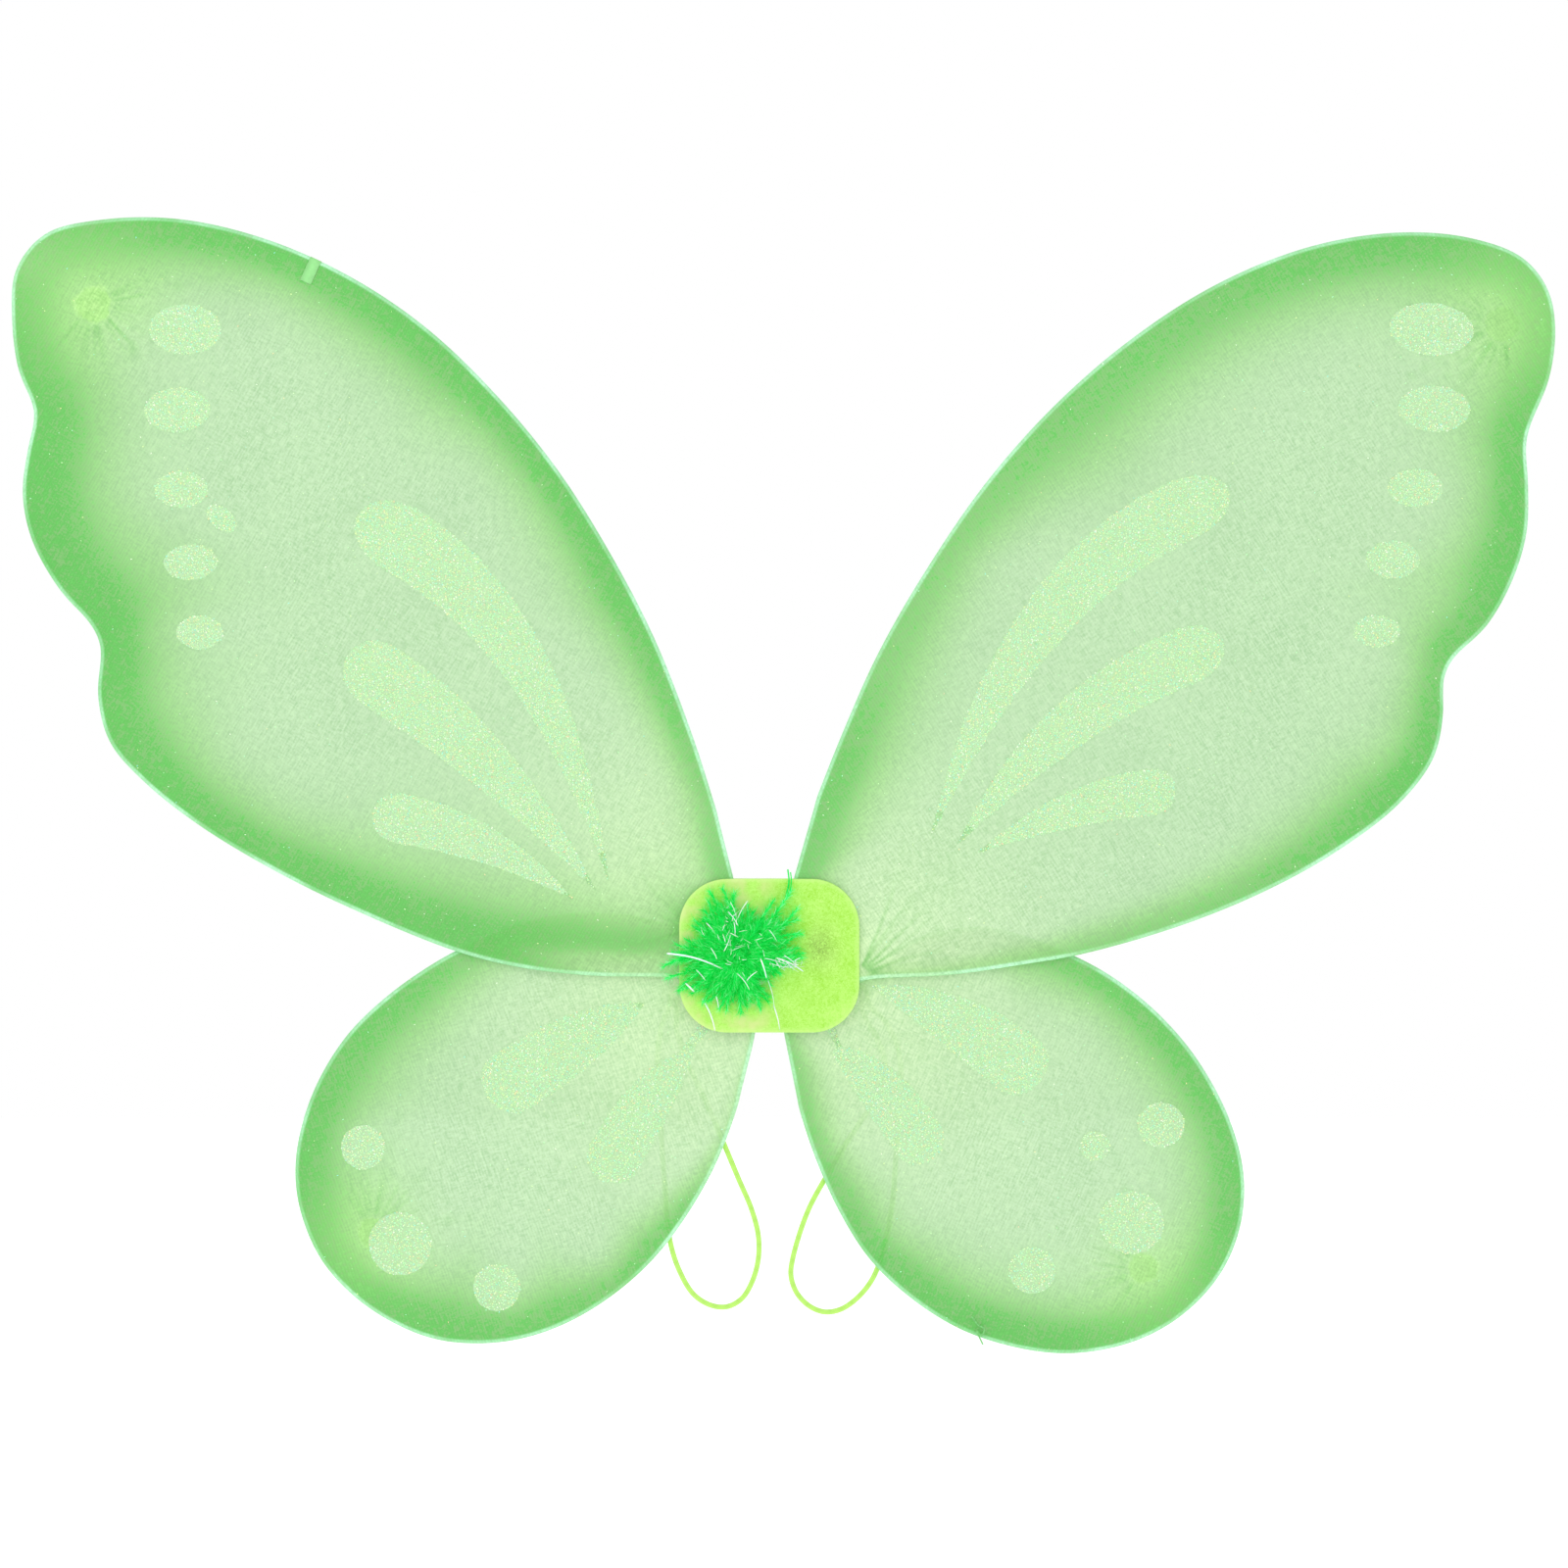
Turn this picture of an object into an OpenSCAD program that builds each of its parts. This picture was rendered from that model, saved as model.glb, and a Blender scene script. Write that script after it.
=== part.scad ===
// Fairy wings: four sheer nylon wings on wire hoops, held between two felt pads,
// with an elastic arm loop on each side and a marabou tuft on the front pad.
// +X is the viewer's right, +Z is up, and the decorated side faces -Y.
// The origin is the centre of the back pad's outer face, which rests on the wearer.

/* [Pads] */
// Width of the felt pads
pad_w = 68; // [66:1:72]
// Height of the felt pads
pad_h = 58; // [56:1:60]
// Corner radius of the felt pads
pad_corner = 18; // [16:1:19]
// Thickness of each felt pad
felt_t = 1.6; // [1:0.1:1.8]

/* [Wings] */
// Diameter of the hoop wire
wire_d = 1.6; // [1.2:0.1:1.8]
// Thickness of the stretched nylon, both faces together
nylon_t = 0.6; // [0.3:0.1:0.8]
// Thickness of the printed glitter
glitter_t = 0.25; // [0.15:0.05:0.3]
// Distance from the mount face to the middle of the lower wings
lower_plane = 4.9; // [4.8:0.1:5]
// Distance from the mount face to the middle of the upper wings
upper_plane = 7.5; // [7.4:0.1:7.6]
// Radius of the tied nylon end on an upper wing
knot_r = 7; // [4:0.5:8]

/* [Arm loops] */
// Diameter of the round elastic
elastic_d = 2; // [1.6:0.1:2]
// Distance from the mount face to the middle of the elastic
elastic_plane = 2.7; // [2.6:0.1:2.8]

/* [Hidden] */

lime = "#B4F050";
nylon_green = "#9FE39A";
mint = "#A8F0C0";
feather_green = "#12C850";
wire_r = wire_d / 2;
elastic_r = elastic_d / 2;
wrap_t = 0.2;               // nylon and thread wrapped round a wire
hinge_gap = 1;              // from the bend line of a wing to the wire on either side of it
cover_gap = 0.5;            // from the bend line to the nylon on either side of it
core_w = 44;                // hot-melt core between the pads
core_h = 38;
core_corner = 10;
stack_t = 10.3;             // mount face to the front of the front pad
core_t = stack_t - 2 * felt_t;
upper_lean = 20;            // bend line of an upper wing from the vertical
lower_lean = 30;            // bend line of a lower wing from the vertical
bend_clear = 1;             // bend line to the pad's rounded corner
print_gap = 1;              // from the bend line to the printed glitter
channel_side = 0.5;         // room beside a wire where it bends inside the glue
bend_arc = 2;               // how far from a corner a wire leg starts to bend
tail_arc = 1;               // the same for an elastic end
binding_len = 6;
pair_gap = 1.7;             // between the middles of the two wires that are bound together
ring_step = 5;              // spacing of the rings along a wire
loop_step = 6;              // spacing of the rings along an elastic loop
rod_sides = 8;
far = 400;                  // further than any wing reaches

// Hoop outlines as [x, z], from the upper or inner leg, round the wing, to the other leg.
upper_left_outline = [
    [-20, 55], [-29, 83], [-43.5, 120], [-61, 153.5], [-80, 183.5], [-102.5, 211], [-129.5, 237],
    [-158.5, 256.5], [-190, 270.5], [-222, 278], [-251, 278], [-273.5, 272.5], [-284.5, 259],
    [-286, 241], [-283.5, 221], [-277.5, 205.5], [-280, 191], [-282, 175], [-278.5, 157],
    [-267.5, 137.5], [-256.5, 125.5], [-252.5, 117], [-253.5, 98], [-249, 80.5], [-236.5, 66],
    [-216.5, 50], [-189.5, 33.5], [-159.5, 18.5], [-118, 1.5], [-94, -4.5], [-68, -7.5], [-42, -8]
];
upper_right_outline = [
    [17.8, 59.5], [27.8, 84.5], [41, 114], [58.5, 144.5], [81, 177.5], [106, 206], [135, 231.5],
    [168, 253], [203.5, 267.5], [237, 273], [264.5, 271], [284.5, 263.5], [294, 251.5], [296.8, 237],
    [294.5, 218], [286, 195.5], [286.5, 178], [286, 160], [280.5, 141.5], [270.5, 124],
    [258, 112], [254.5, 104], [254.5, 92], [251, 75], [238, 57.5], [213, 38.5],
    [185.5, 23.5], [154.5, 11], [118, 0.5], [95, -3.5], [69, -7.2], [43.4, -8.5]
];
lower_left_outline = [
    [-53, 15.5], [-73, 16], [-90, 13.5], [-104.5, 8], [-117, 2.5], [-128.5, -4], [-144, -15],
    [-159.5, -30], [-171.5, -49.5], [-178, -69.5], [-179.2, -85], [-176.5, -99.5], [-169.5, -115],
    [-157.5, -128.5], [-143, -138.5], [-127, -145], [-110, -146.8], [-93, -144.8],
    [-75.5, -138.5], [-58.5, -128], [-44, -115], [-32, -99.5], [-21.5, -81.5], [-15.5, -67.5], [-11.5, -55.5]
];
lower_right_outline = [
    [42.5, -3.2], [51, 3], [65, 9], [80, 11], [96, 7.5], [117, -1], [131, -9], [146.5, -21.5],
    [160.5, -37.5], [172.5, -58.5], [178.5, -77], [179.5, -92.5], [176.5, -108], [169.5, -122],
    [158, -134.5], [144, -143.5], [127, -149], [110, -150.5], [92, -148], [72.5, -141.5],
    [54, -130], [38, -115], [26.5, -97], [17.5, -77], [12.7, -63], [11, -57]
];

// Wire legs inside the pads as [x, z], from the pad's edge to the wire's end. The first leg
// goes on from the start of the wing's outline, the second from its end.
upper_left_legs = [[[-9, 8], [-9, -3]], [[-16, -9], [-10.7, -3], [-10.7, 7]]];
upper_right_legs = [[[9.5, 27], [7, 8], [7, -3]], [[16, -11], [8.7, -3], [8.7, 7]]];
lower_left_legs = [[[-32, 10], [-6.2, -6], [-6.2, -16]], [[-7, -33.5], [-4.5, -20], [-4.5, -7]]];
lower_right_legs = [[[34, -10], [14, -9], [6.2, -5], [6.2, -16]], [[4.5, -20], [4.5, -7]]];

// Ovals as [x, z, width, height, tilt].
upper_left_ovals = [
    [-220.5, 236.5, 27.5, 19, 0], [-223.5, 206, 25, 17, 2], [-222, 176, 20.5, 14, 0],
    [-206.8, 165, 13.5, 8, -38], [-218.5, 148.5, 20.5, 13.5, 3], [-215, 122, 18, 13, 0]
];
upper_right_ovals = [
    [250, 236.5, 32, 20, -5], [251, 206.5, 27.5, 17.5, -3], [244, 176.5, 21, 14.5, 0],
    [235.5, 149.5, 20.5, 14.5, 0], [229.5, 122.5, 18, 12, 0]
];
lower_left_ovals = [
    [-153.5, -72.5, 17, 17, 0], [-139.5, -109, 24, 24, 0], [-103, -125.5, 18, 18, 0]
];
lower_right_ovals = [
    [148, -64, 18, 17, 0], [123, -72, 11.5, 11.5, 0], [137, -101, 24.5, 24, 0],
    [99.5, -119, 18, 18, 0]
];

// Petals as [rounded end, point that the spine bends towards, tip, width, fullness]. A petal is
// widest a little way from its rounded end, and its outline has points at these shares of its spine.
widest = 0.12;
petal_steps = [0.004, 0.015, 0.035, 0.065, 0.12, 0.2, 0.3, 0.4, 0.5, 0.6, 0.7, 0.8, 0.9];
upper_left_petals = [
    [[-156, 165], [-86.5, 139.5], [-60.5, 27.5], 26, 1.7],
    [[-159.5, 113], [-111, 86.5], [-65, 24], 25, 1.9],
    [[-150, 53], [-109, 49.5], [-73, 20.5], 19, 1.8]
];
upper_right_petals = [
    [[174, 175], [99, 153.5], [61, 45], 23.5, 2.3],
    [[171.5, 118], [114.5, 101.5], [70.5, 41.5], 21.5, 2.4],
    [[153.5, 62.5], [117, 61], [78, 38.5], 17.5, 1.9]
];
lower_left_petals = [
    [[-106.5, -54], [-72, -30.5], [-47, -18], 24.5, 2.4],
    [[-63.5, -85], [-45.5, -51], [-28, -34.5], 20.5, 2.4]
];
lower_right_petals = [
    [[102, -48], [73.5, -22], [38.5, -11.5], 24, 2.2],
    [[61, -77.5], [42, -44], [22, -34.5], 20, 2.4]
];

// Elastic routes as [x, y, z], from one end of the loop to the other.
left_loop_route = [
    [-37.2, -2.7, -18.65], [-40, -2.7, -24.5], [-42, -2.7, -34], [-42.3, -2.7, -46], [-41, -2.7, -66],
    [-39.6, -2.7, -87], [-37.6, -2.7, -108], [-34, -2.7, -119.5], [-28.5, -2.7, -128.5],
    [-22, -2.7, -132.5], [-16, -2.7, -133], [-10.5, -2.7, -130], [-6.5, -2.7, -123.5],
    [-4.2, -2.7, -115], [-4.2, -2.7, -106], [-6.8, -2.7, -96], [-11.5, -2.7, -85],
    [-16.5, -2.7, -73], [-21.5, -2.7, -61], [-27, -2.7, -49], [-32, -2.7, -38],
    [-34.9, -2.7, -28], [-34.8, -2.7, -18.65]
];
right_loop_route = [
    [37.2, -2.7, -18.65], [43.5, -2.7, -25], [48, -2.7, -33], [49.8, -2.7, -43], [49.5, -2.7, -56],
    [48, -2.7, -74], [46.5, -2.7, -94], [43, -2.7, -112], [39, -2.7, -122.5], [33.5, -2.7, -129.5],
    [27, -2.7, -134], [21, -2.7, -135], [15.5, -2.7, -133], [10.5, -2.7, -128], [8.2, -2.7, -121.5],
    [8.8, -2.7, -115], [14.5, -2.7, -97], [22, -2.7, -83], [30.5, -2.7, -69], [38.5, -2.7, -57],
    [43, -2.7, -49], [43.8, -2.7, -40], [40.5, -2.7, -31], [36.6, -2.7, -24.5], [34.8, -2.7, -18.65]
];

// Elastic ends inside the pads as [x, z], from the edge of the pads to the knot.
left_tails = [[[-37.2, -15.35], [-36.5, -12], [-18, -12]], [[-34.8, -15.35], [-33.5, -14.6], [-18, -14.6]]];
right_tails = [[[37.2, -15.35], [36.5, -12], [18, -12]], [[34.8, -15.35], [33.5, -14.6], [18, -14.6]]];

// Middles of the bindings as [x, z]: upper left, upper right, lower left, lower right.
binding_at = [[-9.85, 2], [7.85, 2], [-5.35, -11.5], [5.35, -11.5]];

// Knot of an arm loop: distance from the middle, distance down, depth and radius.
loop_knot_x = 16.5;
loop_knot_z = 13.8;
loop_knot_depth = 3.4;
loop_knot_r = 1.7;
loop_knot_room = [4, 3.5, 4];

tinsel_w = 1;
tinsel_t = 0.3;
// Tinsel strands as [x, z, length, direction, depth].
strands = [
    [-27, -1, 23, -14, 23], [-13, 17, 9, 70, 19], [-2, -3, 17, -12, 24],
    [1, -15, 17, -75, 18], [-24, -19, 13, -70, 15], [-21, 10, 9, 35, 21]
];

// Tuft: low tufts of down round its edge and high ones in its middle, as [x, z].
tuft_edge = [
    [-29, 5], [-27, -11], [-17, -20], [-2, -21], [9, -12], [12, 2], [8, 18], [-8, 19], [-22, 16]
];
tuft_crown = [[-20, -4], [-10, 9], [-4, -8]];

// Curve through points, with chords of about the given length.
function knot_gap(a, b) = max(sqrt(norm(b - a)), 0.001);
function hermite(b, m1, c, m2, t) =
    (2 * pow(t, 3) - 3 * t * t + 1) * b + (pow(t, 3) - 2 * t * t + t) * m1
    + (3 * t * t - 2 * pow(t, 3)) * c + (pow(t, 3) - t * t) * m2;
function leave(a, b, c, g1, g2) = g2 * ((b - a) / g1 - (c - a) / (g1 + g2) + (c - b) / g2);
function arrive(b, c, d, g2, g3) = g2 * ((c - b) / g2 - (d - b) / (g2 + g3) + (d - c) / g3);
function curve(p, step) = [
    for (i = [0 : len(p) - 2])
        let (
            b = p[i],
            c = p[i + 1],
            a = i > 0 ? p[i - 1] : 2 * b - c,
            d = i < len(p) - 2 ? p[i + 2] : 2 * c - b,
            m1 = leave(a, b, c, knot_gap(a, b), knot_gap(b, c)),
            m2 = arrive(b, c, d, knot_gap(b, c), knot_gap(c, d)),
            n = max(1, round(norm(c - b) / step))
        )
        for (k = [0 : n - 1]) hermite(b, m1, c, m2, k / n),
    p[len(p) - 1]
];

// Outline moved sideways; the side that the wing fills is positive.
function turn_sum(p, i = 0) =
    i >= len(p) ? 0 : let (q = p[(i + 1) % len(p)]) p[i][0] * q[1] - q[0] * p[i][1] + turn_sum(p, i + 1);
function along(p, i) =
    let (d = p[min(i + 1, len(p) - 1)] - p[max(i - 1, 0)]) d / norm(d);
function inset(p, d) =
    let (side = turn_sum(p) > 0 ? 1 : -1)
    [for (i = [0 : len(p) - 1]) let (t = along(p, i)) p[i] + side * d * [-t[1], t[0]]];

// Keeps the points of a path that lie beyond a bend line, and ends it on that line's offset.
function beyond(p, at, out, gap) = [for (q = p) if ((q - at) * out > gap) q];
function meet(a, b, at, out, gap) =
    let (da = (a - at) * out - gap, db = (b - at) * out - gap) a + (b - a) * da / (da - db);
function trimmed(p, at, out, gap) =
    let (
        n = len(p),
        first = [for (i = [0 : n - 2]) if ((p[i] - at) * out <= gap && (p[i + 1] - at) * out > gap) i][0],
        last = [for (i = [n - 1 : -1 : 1]) if ((p[i] - at) * out <= gap && (p[i - 1] - at) * out > gap) i][0]
    )
    concat([meet(p[first], p[first + 1], at, out, gap)], beyond(p, at, out, gap),
        [meet(p[last], p[last - 1], at, out, gap)]);
function straight_on(p) =
    let (n = len(p), s = p[0] - p[1], e = p[n - 1] - p[n - 2])
    concat([p[0] + 6 * s / norm(s)], p, [p[n - 1] + 6 * e / norm(e)]);

// Outward direction of a bend line, and the point where it passes the pad's corner.
function outward(side, up, lean) = [side * cos(lean), up * sin(lean)];
function bend_point(side, up, lean) =
    [side * (pad_w / 2 - pad_corner), up * (pad_h / 2 - pad_corner)]
    + (pad_corner + bend_clear) * outward(side, up, lean);
function lean_of(up) = up > 0 ? upper_lean : lower_lean;

function hoop_path(outline, side, up) =
    trimmed(inset(curve(straight_on(outline), ring_step), wire_r + wrap_t),
        bend_point(side, up, lean_of(up)), outward(side, up, lean_of(up)), hinge_gap);
// Where a wing's wire crosses its bend line, at the start and the end of the outline.
function crossings(outline, side, up) =
    let (p = trimmed(inset(curve(straight_on(outline), ring_step), wire_r + wrap_t),
        bend_point(side, up, lean_of(up)), outward(side, up, lean_of(up)), 0))
    [p[0], p[len(p) - 1]];
function whole_legs(outline, legs, side, up) =
    let (c = crossings(outline, side, up)) [for (i = [0, 1]) concat([c[i]], legs[i])];
function cover_path(outline, side, up) =
    trimmed(inset(curve(straight_on(outline), ring_step), wire_d + wrap_t - 0.05),
        bend_point(side, up, lean_of(up)), outward(side, up, lean_of(up)), cover_gap);

// Closed outlines of the printed shapes.
function oval(o, n = 28) = [
    for (k = [0 : n - 1])
        let (a = 360 * k / n, x = o[2] / 2 * cos(a), z = o[3] / 2 * sin(a))
        [o[0] + x * cos(o[4]) - z * sin(o[4]), o[1] + x * sin(o[4]) + z * cos(o[4])]
];
function spine(p, t) = pow(1 - t, 2) * p[0] + 2 * t * (1 - t) * p[1] + t * t * p[2];
function spine_dir(p, t) = let (d = 2 * (1 - t) * (p[1] - p[0]) + 2 * t * (p[2] - p[1])) d / norm(d);
function half_width(p, t) =
    p[3] / 2 * (t < widest ? sqrt(1 - pow(1 - t / widest, 2)) : 1 - pow((t - widest) / (1 - widest), p[4]));
function petal_side(p, s) = [
    for (t = petal_steps) let (d = spine_dir(p, t)) spine(p, t) + s * half_width(p, t) * [-d[1], d[0]]
];
function reversed(l) = [for (i = [len(l) - 1 : -1 : 0]) l[i]];
function petal(p) = concat([p[0]], petal_side(p, 1), [p[2]], reversed(petal_side(p, -1)));

// Lifts an [x, z] path onto a wing's plane.
function on_plane(p, depth) = [for (q = p) [q[0], -depth, q[1]]];

// Flat sheet in the XZ plane, from -depth to -depth + thick.
module sheet(depth, thick) {
    translate([0, -depth + thick, 0]) rotate([90, 0, 0]) linear_extrude(thick) children();
}

// Round rod with domed ends, swept along a path. A dome's rings are [radius, height] over r.
dome = [for (a = [20, 45, 70]) [cos(a), sin(a)]];
function ring(c, t, r) =
    let (n = cross(t, [0, 1, 0]), u = n / norm(n), v = cross(t, u))
    [for (k = [0 : rod_sides - 1]) let (a = 360 * (k + 0.5) / rod_sides) c + r * (cos(a) * u + sin(a) * v)];
module rod(p, r) {
    n = len(p);
    rings = concat(
        [for (d = reversed(dome)) let (t = along(p, 0)) ring(p[0] - r * d[1] * t, t, r * d[0])],
        [for (i = [0 : n - 1]) ring(p[i], along(p, i), r)],
        [for (d = dome) let (t = along(p, n - 1)) ring(p[n - 1] + r * d[1] * t, t, r * d[0])]
    );
    m = len(rings);
    polyhedron(
        [for (g = rings) each g],
        concat(
            [[for (k = [0 : rod_sides - 1]) k]],
            [for (i = [0 : m - 2]) for (k = [0 : rod_sides - 1])
                let (a = i * rod_sides + k, b = i * rod_sides + (k + 1) % rod_sides)
                [a, a + rod_sides, b + rod_sides, b]],
            [[for (k = [rod_sides - 1 : -1 : 0]) (m - 1) * rod_sides + k]]
        )
    );
}

// Path with each corner rounded by a short arc.
function bent(p, d) = concat(
    [p[0]],
    [for (i = [1 : len(p) - 2])
        let (u = (p[i - 1] - p[i]) / norm(p[i - 1] - p[i]), v = (p[i + 1] - p[i]) / norm(p[i + 1] - p[i]))
        for (t = [0, 0.25, 0.5, 0.75, 1]) p[i] + d * (pow(1 - t, 2) * u + t * t * v)],
    [p[len(p) - 1]]
);

module rounded(w, h, r) {
    square([w - 2 * r, h], center = true);
    square([w, h - 2 * r], center = true);
    for (x = [-1, 1], z = [-1, 1]) translate([x * (w / 2 - r), z * (h / 2 - r)]) circle(r, $fn = 64);
}

upper_left_whole = whole_legs(upper_left_outline, upper_left_legs, -1, 1);
upper_right_whole = whole_legs(upper_right_outline, upper_right_legs, 1, 1);
lower_left_whole = whole_legs(lower_left_outline, lower_left_legs, -1, -1);
lower_right_whole = whole_legs(lower_right_outline, lower_right_legs, 1, -1);

module felt_pad(depth) {
    color(lime) sheet(depth, felt_t) rounded(pad_w, pad_h, pad_corner);
}

// Box channels in the glue, one round each straight piece of a leg.
module channel(p, depth, r) {
    w = r + channel_side;
    for (i = [0 : len(p) - 2])
        let (a = p[i], b = p[i + 1], d = b - a)
        translate([a[0], -depth, a[1]]) rotate([0, atan2(d[0], d[1]), 0])
            translate([-w, -r, -w]) cube([2 * w, 2 * r, norm(d) + 2 * w]);
}

module stadium(gap, r) {
    square([gap, 2 * r], center = true);
    for (x = [-1, 1]) translate([x * gap / 2, 0]) circle(r, $fn = 40);
}

module binding(at, depth) {
    color("ivory") translate([at[0], -depth, at[1] - binding_len / 2])
        linear_extrude(binding_len) difference() {
            stadium(pair_gap, wire_r + wrap_t);
            stadium(pair_gap, wire_r);
        }
}

module binding_space(at, depth) {
    r = wire_r + wrap_t;
    translate([at[0] - pair_gap / 2 - r, -depth - r, at[1] - binding_len / 2])
        cube([pair_gap + 2 * r, 2 * r, binding_len]);
}

module glue_core() {
    color("#E9E6C8") difference() {
        sheet(stack_t - felt_t, core_t) rounded(core_w, core_h, core_corner);
        for (l = concat(upper_left_whole, upper_right_whole)) channel(l, upper_plane, wire_r);
        for (l = concat(lower_left_whole, lower_right_whole)) channel(l, lower_plane, wire_r);
        for (l = concat(left_tails, right_tails)) channel(l, elastic_plane, elastic_r);
        for (i = [0 : 3]) binding_space(binding_at[i], i < 2 ? upper_plane : lower_plane);
        for (x = [-1, 1])
            translate([x * loop_knot_x, -felt_t - loop_knot_room[1] / 2, -loop_knot_z])
                cube(loop_knot_room, center = true);
    }
}

module feather_tuft() {
    color(feather_green) hull() {
        for (q = tuft_edge) translate([q[0], -13.6, q[1]]) sphere(2.4, $fn = 20);
        for (q = tuft_crown) translate([q[0], -21, q[1]]) sphere(5, $fn = 20);
    }
}

module tuft_glue() {
    color("#E9E6C8") sheet(stack_t + 0.9, 0.9) translate([-10, 0]) circle(13, $fn = 48);
}

module tinsel_strands() {
    color("#F4F8F6") for (s = strands)
        translate([s[0], -s[4], s[1]]) rotate([0, -s[3], 0]) cube([s[2], tinsel_t, tinsel_w], center = true);
}

module root(legs, side, up, depth) {
    at = bend_point(side, up, lean_of(up));
    out = outward(side, up, lean_of(up));
    color(mint) for (l = legs) {
        start = meet(l[0] + (l[0] - l[1]) / 4, l[1], at, out, -hinge_gap);
        rod(on_plane(bent(concat([start], [for (i = [1 : len(l) - 1]) l[i]]), bend_arc), depth), wire_r);
    }
}

// Band beside a bend line, from one distance beyond it to another.
module band(side, up, from, to) {
    at = bend_point(side, up, lean_of(up));
    out = outward(side, up, lean_of(up));
    long = far * [-out[1], out[0]];
    polygon([at + from * out - long, at + from * out + long, at + to * out + long, at + to * out - long]);
}

// Nylon between the bend line and the glue, cut round the wire's legs.
module gather(legs, side, up, depth) {
    color(nylon_green) sheet(depth + nylon_t / 2, nylon_t) difference() {
        intersection() {
            polygon(concat(legs[0], reversed(legs[1])));
            band(side, up, -far, -cover_gap);
        }
        square([core_w, core_h], center = true);
        for (l = legs) for (i = [0 : len(l) - 2])
            let (a = l[i], b = l[i + 1], d = (b - a) / norm(b - a), w = [-d[1], d[0]] * (wire_r + 0.1))
            polygon([a - d + w, a - d - w, b + d - w, b + d + w]);
    }
}

module tails(ends) {
    color(lime) for (l = ends) rod(on_plane(bent(l, tail_arc), elastic_plane), elastic_r);
}

module loop_knot(side) {
    color(lime) difference() {
        translate([side * loop_knot_x, -loop_knot_depth, -loop_knot_z]) sphere(loop_knot_r, $fn = 40);
        translate([0, -felt_t + pad_w / 2, 0]) cube(pad_w, center = true);
    }
}

// Wire of one wing, wrapped in paper.
module hoop(outline, side, up, depth) {
    color(mint) rod(on_plane(hoop_path(outline, side, up), depth), wire_r);
}

// Stocking pulled over the hoop, its two layers taken as one flat sheet.
module cover(outline, side, up, depth) {
    color(nylon_green) sheet(depth + nylon_t / 2, nylon_t) polygon(cover_path(outline, side, up));
}

// Printed glitter, in ovals near a wing's tip and petals near its root.
module glitter(ovals, petals, side, up, depth) {
    color("#CFF7CF") sheet(depth + nylon_t / 2 + glitter_t, glitter_t) intersection() {
        union() {
            for (o = ovals) polygon(oval(o));
            for (p = petals) polygon(petal(p));
        }
        band(side, up, print_gap, far);
    }
}

// Tied end of the nylon on the back of a wing: a bound neck, then a flared bunch.
module wing_knot(at, depth, r) {
    color("#BDF07A") translate([at[0], -depth + nylon_t / 2, at[1]]) rotate([-90, 0, 0])
        rotate_extrude($fn = 48) polygon([
            [0, 0], [0.32 * r, 0], [0.26 * r, 0.8], [0.55 * r, 1.5], [r, 2.6], [0.9 * r, 3.2], [0, 2.9]
        ]);
}

// Strip that covers the overlap of the wire's wrapping.
module upper_left_tape() {
    color("#8FE08A") translate([-173.5, -upper_plane - nylon_t / 2 - 0.3, 257.2]) rotate([0, 28, 0])
        translate([-2, 0, -5]) cube([4, 0.3, 9]);
}

module arm_loop(route) {
    color(lime) rod(curve(route, loop_step), elastic_r);
}

felt_pad(stack_t);  // front_pad
felt_pad(felt_t);  // back_pad
glue_core();
feather_tuft();
tuft_glue();
tinsel_strands();
root(upper_left_whole, -1, 1, upper_plane);  // upper_left_root
root(upper_right_whole, 1, 1, upper_plane);  // upper_right_root
root(lower_left_whole, -1, -1, lower_plane);  // lower_left_root
root(lower_right_whole, 1, -1, lower_plane);  // lower_right_root
binding(binding_at[0], upper_plane);  // upper_left_binding
binding(binding_at[1], upper_plane);  // upper_right_binding
binding(binding_at[2], lower_plane);  // lower_left_binding
binding(binding_at[3], lower_plane);  // lower_right_binding
gather(upper_left_whole, -1, 1, upper_plane);  // upper_left_gather
gather(upper_right_whole, 1, 1, upper_plane);  // upper_right_gather
gather(lower_left_whole, -1, -1, lower_plane);  // lower_left_gather
gather(lower_right_whole, 1, -1, lower_plane);  // lower_right_gather
tails(left_tails);  // left_loop_tails
tails(right_tails);  // right_loop_tails
loop_knot(-1);  // left_loop_knot
loop_knot(1);  // right_loop_knot
hoop(upper_left_outline, -1, 1, upper_plane);  // upper_left_hoop
hoop(upper_right_outline, 1, 1, upper_plane);  // upper_right_hoop
hoop(lower_left_outline, -1, -1, lower_plane);  // lower_left_hoop
hoop(lower_right_outline, 1, -1, lower_plane);  // lower_right_hoop
cover(upper_left_outline, -1, 1, upper_plane);  // upper_left_cover
cover(upper_right_outline, 1, 1, upper_plane);  // upper_right_cover
cover(lower_left_outline, -1, -1, lower_plane);  // lower_left_cover
cover(lower_right_outline, 1, -1, lower_plane);  // lower_right_cover
glitter(upper_left_ovals, upper_left_petals, -1, 1, upper_plane);  // upper_left_glitter
glitter(upper_right_ovals, upper_right_petals, 1, 1, upper_plane);  // upper_right_glitter
glitter(lower_left_ovals, lower_left_petals, -1, -1, lower_plane);  // lower_left_glitter
glitter(lower_right_ovals, lower_right_petals, 1, -1, lower_plane);  // lower_right_glitter
wing_knot([-255.5, 246], upper_plane, knot_r);  // upper_left_knot
wing_knot([277, 238.5], upper_plane, knot_r);  // upper_right_knot
wing_knot([-150, -105], lower_plane, 0.85 * knot_r);  // lower_left_knot
wing_knot([141.5, -118.5], lower_plane, 0.85 * knot_r);  // lower_right_knot
upper_left_tape();
arm_loop(left_loop_route);  // left_arm_loop
arm_loop(right_loop_route);  // right_arm_loop
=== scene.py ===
import math
import bmesh
import bpy
import numpy as np
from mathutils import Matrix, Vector
from mathutils.geometry import delaunay_2d_cdt


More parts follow.
